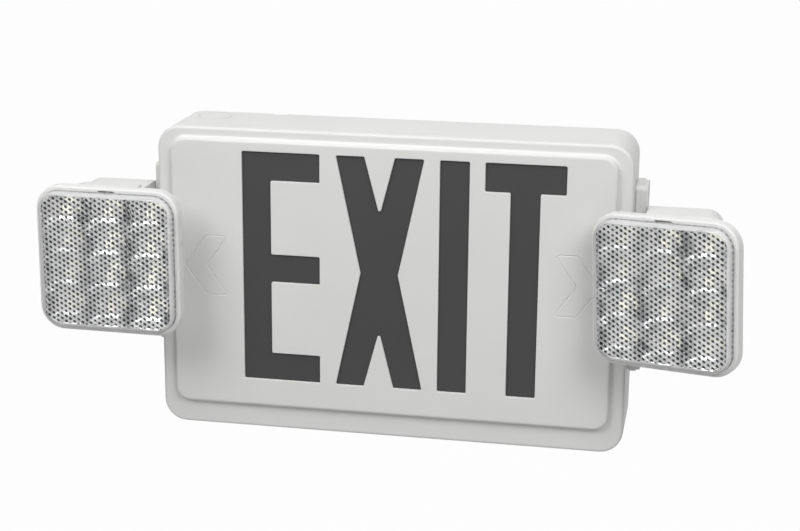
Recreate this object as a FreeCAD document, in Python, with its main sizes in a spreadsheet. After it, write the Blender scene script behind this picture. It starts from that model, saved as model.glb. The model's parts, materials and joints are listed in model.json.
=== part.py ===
"""Emergency exit light: a stencil-faced case on a wall with an adjustable lamp head on each side.

Frame, in millimetres: +X to the right as the sign is read, +Y into the wall, +Z up.
The origin is the centre of the case's back face, so the case lies in front of it, at negative Y.
"""
import FreeCAD, Part
import math
import os
import Sketcher

PARTS_FOLDER = "parts"
MODEL = FreeCAD.newDocument("ExitLight")
SHEET = MODEL.addObject("Spreadsheet::Sheet", "Sizes")

# Driving dimensions in millimetres and degrees, each with what it sizes.
DRIVING = {
    # case
    "case_width": (305.4, "case across"),
    "case_height": (201, "case up and down"),
    "case_depth": (58, "wall to the face of the raised panel"),
    "case_corner": (15, "corner radius of the case outline"),
    "case_wall": (3, "walls of the back housing"),
    "cover_wall": (1.6, "walls of the front cover"),
    "cover_skirt": (9, "depth of the front cover's side walls"),
    "cover_edge": (2, "rounding of the front cover's outer edge"),
    "lip_height": (3.5, "locating lip that stands into the cover"),
    "lip_clearance": (0.2, "gap between lip and cover"),
    "panel_side_margin": (11.3, "side of the case to the panel's flat"),
    "panel_top_margin": (8.7, "top of the case to the panel's flat"),
    "panel_low_margin": (18.2, "bottom of the case to the panel's flat"),
    "panel_corner": (8, "corner radius of the panel's flat"),
    "panel_raise": (4, "panel stands out from the rim"),
    "panel_edge": (1.8, "rounding of the raised panel's edge"),
    "panel_foot": (1.7, "hollow rounding where the panel rises from the rim"),
    "panel_inset": (1, "panel's flat to the cavity behind it"),
    # wall fixing and cable entry
    "screw_span_x": (220, "wall screw holes across"),
    "screw_span_z": (120, "wall screw holes up and down"),
    "screw_hole_radius": (2.6, "wall screw holes"),
    "cable_hole_radius": (11.1, "cable entry in the back wall"),
    "cable_hole_drop": (16, "cable entry below the middle"),
    "knockout_radius": (10.5, "conduit knock-out in the top wall"),
    "knockout_groove": (0.8, "width of the groove round the knock-out"),
    "knockout_depth": (0.5, "depth of the groove round the knock-out"),
    "knockout_shift": (125, "knock-out left of the middle"),
    "knockout_forward": (17, "wall to the middle of the knock-out"),
    "pry_width": (10, "prying notch in the top's back edge"),
    "pry_depth": (2.4, "prying notch, from the wall"),
    "pry_height": (1.6, "prying notch, from the top"),
    "pry_shift": (85, "prying notch left of the middle"),
    # behind the panel
    "sheet_thick": (1.5, "legend diffuser sheet"),
    "light_box_side_margin": (3.4, "light box inside the panel's flat at each side"),
    "light_box_top_margin": (3.05, "light box inside the panel's flat at top and bottom"),
    "light_box_depth": (18, "light box front to back"),
    "light_box_wall": (1.5, "walls of the light box"),
    "light_box_corner": (6, "corner radius of the light box"),
    "strip_end_margin": (18, "end of an LED strip board to the end of the light box"),
    "strip_width": (10, "LED strip boards front to back"),
    "strip_thick": (1.2, "LED strip boards"),
    "strip_led_room": (20, "length of strip board for each LED"),
    "strip_led_size": (3.5, "LED on a strip, square"),
    "strip_led_height": (1, "LED on a strip"),
    # electronics
    "board_width": (120, "charger board across"),
    "board_height": (76, "charger board up and down"),
    "board_thick": (1.6, "charger board"),
    "board_rise": (44, "middle of the charger board above the middle of the case"),
    "post_height": (6, "board posts on the back wall"),
    "post_radius": (3.5, "board posts"),
    "post_hole_radius": (1.2, "screw holes in board and posts"),
    "post_inset": (5, "board edge to post centre"),
    "board_screw_head": (2.6, "head radius of the board screws"),
    "board_screw_head_height": (1.6, "head height of the board screws"),
    "core_width": (44, "transformer core across"),
    "core_height": (38, "transformer core up and down"),
    "core_depth": (14, "transformer core stack"),
    "core_leg_width": (14, "middle leg of the core"),
    "core_window_width": (8, "windows of the core across"),
    "core_window_height": (22, "windows of the core up and down"),
    "coil_depth": (20, "transformer coil front to back"),
    "coil_gap": (0.3, "coil to core"),
    "transformer_shift": (30, "transformer to the left of the board's middle"),
    "capacitor_radius": (6, "capacitors"),
    "capacitor_height": (20, "capacitors"),
    "capacitor_pitch": (15, "capacitor spacing"),
    "capacitor_count": (3, "capacitors"),
    "capacitor_shift": (8, "first capacitor right of the board's middle"),
    "capacitor_rise": (15.2, "capacitors above the board's middle"),
    "terminal_width": (30, "terminal block across"),
    "terminal_height": (12, "terminal block up and down"),
    "terminal_depth": (11, "terminal block front to back"),
    "terminal_hole_radius": (2, "wire holes of the terminal block"),
    "terminal_hole_pitch": (9, "wire holes of the terminal block"),
    "terminal_shift": (36, "terminal block right of the board's middle"),
    "terminal_drop": (26, "terminal block below the board's middle"),
    "cell_radius": (11, "battery cells"),
    "cell_length": (60, "battery cells"),
    "cell_count": (5, "battery cells"),
    "strap_width": (12, "battery strap up and down"),
    "strap_thick": (1, "battery strap"),
    "strap_foot": (12, "feet of the battery strap"),
    "strap_rise": (36, "middle of the battery strap above the case's floor"),
    # test button and pilot light under the case
    "button_shift": (68, "test button right of the middle"),
    "button_radius": (4, "test button"),
    "button_flange": (5.6, "collar that keeps the test button in"),
    "button_flange_thick": (1.4, "collar of the test button"),
    "button_proud": (2, "test button below the case"),
    "button_travel": (1.5, "test button"),
    "button_stem_radius": (2, "stem of the test button inside the switch"),
    "button_stem_length": (4, "stem of the test button inside the switch"),
    "slide_clearance": (0.15, "round the test button"),
    "seat_gap": (0.1, "between faces that move past each other"),
    "switch_width": (16, "test switch body, square"),
    "switch_height": (14, "test switch body"),
    "control_depth": (25, "wall to the middle of the test button and pilot light"),
    "pilot_shift": (22, "pilot light right of the test button"),
    "pilot_radius": (3, "pilot light lens"),
    "pilot_flange": (4.2, "collar of the pilot light lens"),
    # side plates and spindles
    "plate_height": (123, "side plate up and down"),
    "plate_width": (26, "side plate front to back"),
    "plate_corner": (4, "corner radius of the side plate"),
    "plate_neck": (0.9, "neck that stands the side plate off the case"),
    "plate_neck_in": (1.2, "neck is smaller than the side plate all round"),
    "plate_base": (4.6, "lower level of the side plate"),
    "plate_cap": (2.5, "upper level of the side plate"),
    "plate_cap_in": (0.9, "upper level is smaller all round"),
    "plate_base_edge": (0.6, "rounding of the lower level's outer edge"),
    "plate_edge": (1, "rounding of the upper level's outer edge"),
    "plate_forward": (2, "middle of the side plate ahead of the tilt axis"),
    "plate_rise": (11, "middle of the side plate above the middle of the case"),
    "tilt_back": (22, "wall to the tilt axis"),
    "tilt_drop": (14.5, "tilt axis below the middle of the case"),
    "spindle_radius": (8, "hollow spindle"),
    "spindle_bore": (5, "wire passage in the spindle"),
    "running_clearance": (0.08, "round the spindle in the side plate and the case"),
    "fixed_clearance": (0.02, "round the spindle in the arm and the nut"),
    "spindle_reach": (24, "spindle inside the arm"),
    "washer_radius": (13, "spindle washer"),
    "washer_thick": (1.2, "spindle washer"),
    "nut_width": (24, "spindle nut across flats"),
    "nut_thick": (6, "spindle nut"),
    # arms
    "arm_gap": (0.8, "arm to side plate"),
    "arm_width": (50.2, "arm front across"),
    "arm_height": (88.4, "arm front up and down"),
    "arm_corner": (14, "outer corners of the arm front"),
    "arm_front_depth": (10.4, "arm front, front to back"),
    "arm_rear_depth": (28.5, "arm rear, front to back"),
    "arm_step": (3.2, "arm rear is smaller all round"),
    "arm_wall": (2.2, "walls of the arm"),
    "arm_edge": (1.5, "rounding of the arm's edges"),
    "arm_offset": (14.4, "panel's face to the arm's front"),
    "head_rise": (18.3, "middle of a lamp head above the middle of the case"),
    "knuckle_radius": (14.5, "barrel round the spindle"),
    "knuckle_length": (28, "barrel round the spindle, from the side plate"),
    # ball joint of the lamp heads
    "pivot_in_arm": (13.2, "ball's centre to the inner side of the arm"),
    "pivot_forward": (35.3, "panel's face to the ball's centre"),
    "ball_radius": (34, "ball on the lamp back"),
    "ball_wall": (2.2, "wall of the ball"),
    "ball_clearance": (0.3, "ball to its seat"),
    "seat_wall": (2.2, "wall of the seat"),
    "slot_length": (33, "slot in the ball for the pivot screw"),
    "slot_height": (6.5, "slot in the ball for the pivot screw"),
    "pivot_screw_radius": (2, "pivot screw"),
    "pivot_head_radius": (4, "head of the pivot screw"),
    "pivot_head_height": (2.4, "head of the pivot screw"),
    "pivot_washer_radius": (7, "washer inside the ball"),
    "pivot_washer_thick": (1, "washer inside the ball"),
    "pivot_nut_width": (8, "nut behind the seat, across flats"),
    "pivot_nut_thick": (3.2, "nut behind the seat"),
    # lamp heads
    "head_size": (95, "bezel, square"),
    "head_corner": (16, "corner radius of the bezel"),
    "lens_size": (89, "lens, square"),
    "lens_corner": (13, "corner radius of the lens"),
    "lens_edge": (2, "rounding of the lens's front edge"),
    "lens_wall": (1.8, "wall of the lens"),
    "lens_ahead": (4, "lens front ahead of the ball's centre"),
    "lens_proud": (5, "lens stands out of the bezel"),
    "lens_flange": (1, "rim that the bezel holds"),
    "lens_flange_thick": (1.5, "rim that the bezel holds"),
    "bezel_depth": (7.5, "bezel front to back"),
    "bezel_edge": (1.5, "rounding of the bezel's front edge"),
    "fit_gap": (0.2, "round pieces that sit in the bezel and the lens"),
    "notch_width": (11, "release notches in the bezel"),
    "notch_depth": (1, "release notches in the bezel"),
    "back_thick": (1.5, "flange of the lamp back"),
    "lamp_board_thick": (1.4, "LED board of a lamp head"),
    "cup_columns": (3, "reflector cups across"),
    "cup_rows": (4, "reflector cups up and down"),
    "cup_pitch_x": (28, "reflector cups across"),
    "cup_pitch_z": (21, "reflector cups up and down"),
    "cup_rib": (1.4, "between the mouths of the cups"),
    "cup_base": (9, "opening at the back of a cup"),
    "lamp_led_size": (5, "LED of a lamp head, square"),
    "lamp_led_height": (1.2, "LED of a lamp head"),
    # how the lamp heads are set
    "left_pan": (-1.5, "left head turned about the vertical, in degrees"),
    "right_pan": (-21.3, "right head turned about the vertical, in degrees"),
    "left_cant": (0, "left head turned about its own front, in degrees"),
    "right_cant": (-3.2, "right head turned about its own front, in degrees"),
}


class Size:
    """A length with its formula, so that one line of arithmetic gives both."""

    def __init__(self, value, formula):
        self.value = value
        self.formula = formula

    def _joined(self, other, sign, value):
        formula = other.formula if isinstance(other, Size) else repr(other)
        return Size(value, "(%s %s %s)" % (self.formula, sign, formula))

    def __add__(self, other):
        return self._joined(other, "+", self.value + number(other))

    def __sub__(self, other):
        return self._joined(other, "-", self.value - number(other))

    def __mul__(self, other):
        return self._joined(other, "*", self.value * number(other))

    def __truediv__(self, other):
        return self._joined(other, "/", self.value / number(other))

    def __neg__(self):
        return self * -1


def number(size):
    """The plain number of a Size or of a number."""
    return size.value if isinstance(size, Size) else size


def formula(size):
    """The formula of a Size or of a number."""
    return size.formula if isinstance(size, Size) else repr(size)


def as_size(value):
    """A plain number as a Size."""
    return value if isinstance(value, Size) else Size(float(value), repr(float(value)))


class Sizes:
    """The driving dimensions by name, each written once into the sheet."""

    def __init__(self, table):
        for row, (name, (value, note)) in enumerate(table.items(), start=1):
            SHEET.set("A%d" % row, name)
            SHEET.set("B%d" % row, str(value))
            SHEET.set("C%d" % row, note)
            SHEET.setAlias("B%d" % row, name)
            setattr(self, name, Size(float(value), "Sizes." + name))


s = Sizes(DRIVING)
MODEL.recompute()


HEXAGON_SIDES = 6
# Circumradius of a hexagon for each unit across its flats.
HEXAGON = 1 / math.sqrt(3)


# ---------------------------------------------------------------- helpers: parts and booleans

def bind(thing, **sizes):
    """Bind properties of an object to sizes."""
    for name, size in sizes.items():
        thing.setExpression(name, formula(size))


def put(thing, x=0, y=0, z=0):
    """Bind the place of an object to sizes."""
    for axis, size in zip("xyz", (x, y, z)):
        thing.setExpression("Placement.Base." + axis, formula(size))


def box(name, centre, size):
    """A block given by its centre and its size along X, Y and Z."""
    thing = MODEL.addObject("Part::Box", name)
    bind(thing, Length=size[0], Width=size[1], Height=size[2])
    put(thing, *(middle - whole / 2 for middle, whole in zip(map(as_size, centre), map(as_size, size))))
    return thing


TURNS = {
    "+x": FreeCAD.Rotation(FreeCAD.Vector(0, 1, 0), 90),
    "-x": FreeCAD.Rotation(FreeCAD.Vector(0, 1, 0), -90),
    "+y": FreeCAD.Rotation(FreeCAD.Vector(1, 0, 0), -90),
    "-y": FreeCAD.Rotation(FreeCAD.Vector(1, 0, 0), 90),
    "+z": FreeCAD.Rotation(),
}


def rod(name, start, radius, length, way):
    """A cylinder from the centre of one end, along a named way such as +y."""
    thing = MODEL.addObject("Part::Cylinder", name)
    bind(thing, Radius=radius, Height=length)
    thing.Placement = FreeCAD.Placement(FreeCAD.Vector(), TURNS[way])
    put(thing, *start)
    return thing


def hexagon(name, start, across, length, way):
    """A hexagonal bar by its width across flats, from the centre of one end."""
    thing = MODEL.addObject("Part::Prism", name)
    thing.Polygon = HEXAGON_SIDES
    bind(thing, Circumradius=across * HEXAGON, Height=length)
    thing.Placement = FreeCAD.Placement(FreeCAD.Vector(), TURNS[way])
    put(thing, *start)
    return thing


def ball(name, radius, centre=(0, 0, 0)):
    """A sphere whose poles lie along Y, where a screw hole or a slot always cuts it."""
    thing = MODEL.addObject("Part::Sphere", name)
    bind(thing, Radius=radius)
    thing.Placement = FreeCAD.Placement(FreeCAD.Vector(), TURNS["+y"])
    put(thing, *centre)
    return thing


def joined(name, pieces):
    """One solid from pieces that meet."""
    thing = MODEL.addObject("Part::MultiFuse", name)
    thing.Shapes = pieces
    thing.Refine = True
    return thing


def grouped(name, pieces):
    """Separate solids kept together."""
    thing = MODEL.addObject("Part::Compound", name)
    thing.Links = pieces
    return thing


def cut(name, base, tools):
    """The base without the tools."""
    thing = MODEL.addObject("Part::Cut", name)
    thing.Base = base
    thing.Tool = tools[0] if len(tools) == 1 else grouped(name + "_tools", tools)
    return thing


def common(name, first, second):
    """What two pieces share."""
    thing = MODEL.addObject("Part::Common", name)
    thing.Base = first
    thing.Tool = second
    return thing


def mirrored(name, source):
    """The piece on the other side of the case."""
    thing = MODEL.addObject("Part::Mirroring", name)
    thing.Source = source
    thing.Normal = FreeCAD.Vector(1, 0, 0)
    thing.Base = FreeCAD.Vector(0, 0, 0)
    return thing


# ---------------------------------------------------------------- helpers: mouldings from sketches

class Moulding:
    """A PartDesign body made of rounded outlines, seen from the front."""

    def __init__(self, name):
        self.body = MODEL.addObject("PartDesign::Body", name)
        self.name = name
        self.steps = 0
        self.front = self._plane("XZ_Plane")
        self.side = self._plane("YZ_Plane")

    def _plane(self, role):
        return next(item for item in self.body.Origin.OriginFeatures if item.Role == role)

    def _step(self, kind):
        self.steps += 1
        return self.body.newObject(kind, "%s_%s_%d" % (self.name, kind.split("::")[1].lower(), self.steps))

    def _sketch(self, plane, offset):
        sketch = self._step("Sketcher::SketchObject")
        sketch.AttachmentSupport = [(plane, "")]
        sketch.MapMode = "FlatFace"
        for axis, size in zip("xyz", offset):
            sketch.setExpression("AttachmentOffset.Base." + axis, formula(size))
        return sketch

    def outline(self, width, height, corner, x=0, y=0, z=0):
        """A rounded rectangle on the plane at depth y, round the point x, z."""
        sketch = self._sketch(self.front, (x, z, -as_size(y)))
        rounded_rectangle(sketch, width, height, corner)
        return sketch

    def side_outline(self, width, height, corner, x, y, z):
        """A rounded rectangle on the plane at x, round the point y, z."""
        sketch = self._sketch(self.side, (y, z, x))
        rounded_rectangle(sketch, width, height, corner)
        return sketch

    def tongue(self, width, height, corner, x=0, y=0, z=0):
        """A plate outline from x towards +X, with its two outer corners rounded."""
        sketch = self._sketch(self.front, (x, z, -as_size(y)))
        tongue_outline(sketch, width, height, corner)
        return sketch

    def pad(self, sketch, length, reverse=False):
        """Add material from the sketch: to the front, or away from it."""
        pad = self._step("PartDesign::Pad")
        pad.Profile = sketch
        pad.Reversed = reverse
        bind(pad, Length=length)
        MODEL.recompute()
        return pad

    def pocket(self, sketch, length, to_front=True):
        """Take material away from the sketch: to the front, or away from it."""
        before = self.body.Shape.Volume
        pocket = self._step("PartDesign::Pocket")
        pocket.Profile = sketch
        pocket.Reversed = to_front
        bind(pocket, Length=length)
        MODEL.recompute()
        if self.body.Shape.Volume >= before:
            raise ValueError(pocket.Name + " takes nothing away")
        return pocket

    def soften(self, kind, chosen, size):
        """Fillet or chamfer the edges that the test chooses."""
        base = self.body.Tip
        names = ["Edge%d" % (index + 1) for index, edge in enumerate(base.Shape.Edges) if chosen(edge)]
        step = self._step("PartDesign::" + kind)
        step.Base = (base, names)
        bind(step, **{"Radius" if kind == "Fillet" else "Size": size})
        MODEL.recompute()
        return step


def tie(sketch, kind, size, *where):
    """A sketch dimension bound to a size."""
    index = sketch.addConstraint(Sketcher.Constraint(kind, *where, number(size)))
    sketch.setExpression("Constraints[%d]" % index, formula(size))


def arc(centre_x, centre_y, radius, start, end):
    """A sketch arc, with its angles in quarter turns."""
    quarter = math.pi / 2
    circle = Part.Circle(FreeCAD.Vector(centre_x, centre_y, 0), FreeCAD.Vector(0, 0, 1), radius)
    return Part.ArcOfCircle(circle, start * quarter, end * quarter)


def line(start, end):
    """A sketch line between two points."""
    return Part.LineSegment(FreeCAD.Vector(*start, 0), FreeCAD.Vector(*end, 0))


def rounded_rectangle(sketch, width, height, corner):
    """Four sides and four equal corner arcs, centred on the sketch's origin."""
    half_w, half_h, radius = number(width) / 2, number(height) / 2, number(corner)
    in_w, in_h = half_w - radius, half_h - radius
    sketch.addGeometry([
        line((in_w, half_h), (-in_w, half_h)), arc(-in_w, in_h, radius, 1, 2),
        line((-half_w, in_h), (-half_w, -in_h)), arc(-in_w, -in_h, radius, 2, 3),
        line((-in_w, -half_h), (in_w, -half_h)), arc(in_w, -in_h, radius, 3, 4),
        line((half_w, -in_h), (half_w, in_h)), arc(in_w, in_h, radius, 0, 1)], False)
    for index in range(8):
        following = (index + 1) % 8
        sketch.addConstraint(Sketcher.Constraint("Tangent", index, 2, following, 1))
    for index, kind in ((0, "Horizontal"), (2, "Vertical"), (4, "Horizontal"), (6, "Vertical")):
        sketch.addConstraint(Sketcher.Constraint(kind, index))
    for index in (3, 5):
        sketch.addConstraint(Sketcher.Constraint("Equal", 1, index))
    tie(sketch, "Radius", corner, 1)
    tie(sketch, "DistanceX", width, 2, 1, 6, 1)
    tie(sketch, "DistanceY", height, 4, 1, 0, 1)
    tie(sketch, "DistanceX", as_size(width) / 2, -1, 1, 6, 1)
    tie(sketch, "DistanceY", as_size(height) / 2, -1, 1, 0, 1)


def tongue_outline(sketch, width, height, corner):
    """Three straight sides and a far side with rounded corners, from X = 0."""
    far, half_h, radius = number(width), number(height) / 2, number(corner)
    in_w, in_h = far - radius, half_h - radius
    sketch.addGeometry([
        line((in_w, half_h), (0, half_h)), line((0, half_h), (0, -half_h)),
        line((0, -half_h), (in_w, -half_h)), arc(in_w, -in_h, radius, 3, 4),
        line((far, -in_h), (far, in_h)), arc(in_w, in_h, radius, 0, 1)], False)
    for index, following in ((0, 1), (1, 2)):
        sketch.addConstraint(Sketcher.Constraint("Coincident", index, 2, following, 1))
    for index, following in ((2, 3), (3, 4), (4, 5), (5, 0)):
        sketch.addConstraint(Sketcher.Constraint("Tangent", index, 2, following, 1))
    for index, kind in ((0, "Horizontal"), (1, "Vertical"), (2, "Horizontal"), (4, "Vertical")):
        sketch.addConstraint(Sketcher.Constraint(kind, index))
    sketch.addConstraint(Sketcher.Constraint("Equal", 3, 5))
    sketch.addConstraint(Sketcher.Constraint("PointOnObject", 1, 1, -2))
    tie(sketch, "Radius", corner, 3)
    tie(sketch, "DistanceX", width, -1, 1, 4, 1)
    tie(sketch, "DistanceY", as_size(height) / 2, -1, 1, 0, 2)
    tie(sketch, "DistanceY", as_size(height) / 2, 1, 2, -1, 1)


def at_depth(y):
    """A test for edges that lie in the plane at depth y."""
    depth = number(y)
    return lambda edge: abs(edge.BoundBox.YMin - depth) < 1e-4 and abs(edge.BoundBox.YMax - depth) < 1e-4


def beyond(half_width, half_height, z=0):
    """A test for edges whose middle lies outside a rectangle round x = 0 and z."""
    limit_x, limit_z, middle = number(half_width), number(half_height), number(z)

    def outside(edge):
        point = edge.valueAt((edge.FirstParameter + edge.LastParameter) / 2)
        return abs(point.x) > limit_x or abs(point.z - middle) > limit_z
    return outside


def reaches_past(x):
    """A test for edges that reach to the right of x."""
    limit = number(x) + 0.01
    return lambda edge: edge.BoundBox.XMax > limit


def starts_at(x):
    """A test for edges that lie at x or to the right of it."""
    limit = number(x) - 1e-4
    return lambda edge: edge.BoundBox.XMin > limit


def other_than(test):
    """A test that passes where another test fails."""
    return lambda edge: not test(edge)


def both(first, second):
    """A test that passes where two tests pass."""
    return lambda edge: first(edge) and second(edge)


# ---------------------------------------------------------------- places that several pieces share

HALF_WIDTH = s.case_width / 2
HALF_HEIGHT = s.case_height / 2
PANEL_FRONT = -s.case_depth
RIM_FRONT = PANEL_FRONT + s.panel_raise
PARTING = RIM_FRONT + s.cover_skirt
BACK_INSIDE = -s.case_wall
FLOOR_INSIDE = s.case_wall - HALF_HEIGHT
PANEL_WIDTH = s.case_width - s.panel_side_margin * 2
PANEL_HEIGHT = s.case_height - s.panel_top_margin - s.panel_low_margin
PANEL_RISE = (s.panel_low_margin - s.panel_top_margin) / 2
LIGHT_BOX_WIDTH = PANEL_WIDTH - s.light_box_side_margin * 2
LIGHT_BOX_HEIGHT = PANEL_HEIGHT - s.light_box_top_margin * 2
SHEET_FRONT = PANEL_FRONT + s.cover_wall
BOX_FRONT = SHEET_FRONT + s.sheet_thick
BOX_BACK = BOX_FRONT + s.light_box_depth
BOARD_BACK = BACK_INSIDE - s.post_height
BOARD_FRONT = BOARD_BACK - s.board_thick
CONTROL_Y = -s.control_depth
PLATE_BASE_OUTSIDE = HALF_WIDTH + s.plate_neck + s.plate_base
PLATE_OUTSIDE = PLATE_BASE_OUTSIDE + s.plate_cap
TILT_Y = -s.tilt_back
PLATE_Y = TILT_Y - s.plate_forward
TILT_Z = -s.tilt_drop
ARM_INSIDE = PLATE_OUTSIDE + s.arm_gap
ARM_FRONT = PANEL_FRONT - s.arm_offset
ARM_PARTING = ARM_FRONT + s.arm_front_depth
PIVOT_Y = PANEL_FRONT - s.pivot_forward
PIVOT_X = ARM_INSIDE + s.pivot_in_arm
PIVOT = (PIVOT_X, PIVOT_Y, s.head_rise)
SEAT_RADIUS = s.ball_radius + s.ball_clearance
# In a lamp head's own frame, about the ball's centre, with Y from front to back.
LENS_FRONT = -s.lens_ahead
BEZEL_FRONT = LENS_FRONT + s.lens_proud
BEZEL_BACK = BEZEL_FRONT + s.bezel_depth
FLANGE_FRONT = BEZEL_BACK - s.back_thick
LAMP_BOARD_FRONT = FLANGE_FRONT - s.lamp_board_thick


# ---------------------------------------------------------------- the case

def make_front_cover():
    """The moulded cover: a rim with a skirt, and a raised flat panel with a soft S-shaped step."""
    cover = Moulding("front_cover")
    cover.pad(cover.outline(s.case_width, s.case_height, s.case_corner, y=PARTING), s.cover_skirt)
    step_width = PANEL_WIDTH + s.panel_edge * 2
    step_height = PANEL_HEIGHT + s.panel_edge * 2
    step = cover.outline(step_width, step_height, s.panel_corner + s.panel_edge, y=RIM_FRONT, z=PANEL_RISE)
    cover.pad(step, s.panel_raise)
    outside = beyond(step_width / 2 + 1, step_height / 2 + 1, PANEL_RISE)
    cover.soften("Fillet", both(at_depth(RIM_FRONT), outside), s.cover_edge)
    cover.soften("Fillet", both(at_depth(RIM_FRONT), other_than(outside)), s.panel_foot)
    cover.soften("Fillet", at_depth(PANEL_FRONT), s.panel_edge)
    inside = cover.outline(s.case_width - s.cover_wall * 2, s.case_height - s.cover_wall * 2,
                           s.case_corner - s.cover_wall, y=PARTING)
    cover.pocket(inside, s.cover_skirt - s.cover_wall)
    behind = cover.outline(PANEL_WIDTH - s.panel_inset * 2, PANEL_HEIGHT - s.panel_inset * 2,
                           s.panel_corner - s.panel_inset, y=PARTING, z=PANEL_RISE)
    cover.pocket(behind, s.cover_skirt + s.panel_raise - s.cover_wall)
    return cover.body


def board_post_places():
    """The four places of the posts under the charger board, as x and z."""
    x = s.board_width / 2 - s.post_inset
    z = s.board_height / 2 - s.post_inset
    return [(place_x, s.board_rise + place_z) for place_x in (-x, x) for place_z in (-z, z)]


def make_back_housing():
    """The moulded tray on the wall, with its lip, board posts, holes, spindle bores and knock-out."""
    tray = Moulding("housing_tray")
    tray.pad(tray.outline(s.case_width, s.case_height, s.case_corner), -PARTING)
    lip_in = s.cover_wall + s.lip_clearance
    lip = tray.outline(s.case_width - lip_in * 2, s.case_height - lip_in * 2,
                       s.case_corner - lip_in, y=PARTING)
    tray.pad(lip, s.lip_height)
    inside = tray.outline(s.case_width - s.case_wall * 2, s.case_height - s.case_wall * 2,
                          s.case_corner - s.case_wall, y=BACK_INSIDE)
    tray.pocket(inside, s.case_depth)
    pieces = [tray.body]
    holes = []
    for index, (x, z) in enumerate(board_post_places()):
        pieces.append(rod("board_post_%d" % index, (x, BACK_INSIDE, z), s.post_radius, s.post_height, "-y"))
        holes.append(rod("board_post_hole_%d" % index, (x, BACK_INSIDE, z),
                         s.post_hole_radius, s.post_height * 2, "-y"))
    for index, (side_x, side_z) in enumerate(((-1, -1), (-1, 1), (1, -1), (1, 1))):
        place = (s.screw_span_x * (side_x / 2), s.case_wall, s.screw_span_z * (side_z / 2))
        holes.append(rod("wall_screw_hole_%d" % index, place, s.screw_hole_radius, s.case_wall * 3, "-y"))
    holes.append(rod("cable_hole", (0, s.case_wall, -s.cable_hole_drop), s.cable_hole_radius,
                     s.case_wall * 3, "-y"))
    for name, way, side in (("right", "+x", 1), ("left", "-x", -1)):
        start = ((HALF_WIDTH - s.case_wall * 2) * side, TILT_Y, TILT_Z)
        holes.append(rod(name + "_spindle_hole", start, s.spindle_radius + s.running_clearance,
                         s.case_wall * 3, way))
    below = -HALF_HEIGHT - s.case_wall
    holes.append(rod("button_hole", (s.button_shift, CONTROL_Y, below),
                     s.button_radius + s.slide_clearance, s.case_wall * 3, "+z"))
    holes.append(rod("pilot_hole", (s.button_shift + s.pilot_shift, CONTROL_Y, below),
                     s.pilot_radius, s.case_wall * 3, "+z"))
    knockout = (-s.knockout_shift, -s.knockout_forward, HALF_HEIGHT - s.knockout_depth)
    groove_rim = rod("knockout_rim", knockout, s.knockout_radius + s.knockout_groove, s.case_wall, "+z")
    groove_core = rod("knockout_core", knockout, s.knockout_radius, s.case_wall, "+z")
    holes.append(cut("knockout_ring", groove_rim, [groove_core]))
    holes.append(box("pry_notch", (-s.pry_shift, 0, HALF_HEIGHT),
                     (s.pry_width, s.pry_depth * 2, s.pry_height * 2)))
    return cut("back_housing", joined("housing_with_posts", pieces), holes)


def make_legend_parts():
    """The diffuser sheet, the light box behind it and its two LED strips."""
    sheet = Moulding("legend_diffuser")
    sheet.pad(sheet.outline(LIGHT_BOX_WIDTH, LIGHT_BOX_HEIGHT, s.light_box_corner,
                            y=BOX_FRONT, z=PANEL_RISE), s.sheet_thick)
    tray = Moulding("light_box")
    tray.pad(tray.outline(LIGHT_BOX_WIDTH, LIGHT_BOX_HEIGHT, s.light_box_corner,
                          y=BOX_BACK, z=PANEL_RISE), s.light_box_depth)
    wall = s.light_box_wall
    tray.pocket(tray.outline(LIGHT_BOX_WIDTH - wall * 2, LIGHT_BOX_HEIGHT - wall * 2,
                             s.light_box_corner - wall, y=BOX_BACK - wall, z=PANEL_RISE), s.light_box_depth)
    pieces = [sheet.body, tray.body]
    strip_y = BOX_BACK - s.light_box_depth / 2
    reach = LIGHT_BOX_HEIGHT / 2 - wall
    strip_length = LIGHT_BOX_WIDTH - s.strip_end_margin * 2
    count = round(number(strip_length) / number(s.strip_led_room))
    for name, side in (("upper", 1), ("lower", -1)):
        strip_z = PANEL_RISE + (reach - s.strip_thick / 2) * side
        pieces.append(box("led_strip_" + name, (0, strip_y, strip_z),
                          (strip_length, s.strip_width, s.strip_thick)))
        led_z = PANEL_RISE + (reach - s.strip_thick - s.strip_led_height / 2) * side
        leds = []
        for index in range(count):
            led_x = s.strip_led_room * (index - (count - 1) / 2)
            leds.append(box("led_%s_%d" % (name, index), (led_x, strip_y, led_z),
                            (s.strip_led_size, s.strip_led_size, s.strip_led_height)))
        pieces.append(grouped("strip_leds_" + name, leds))
    return pieces


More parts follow.
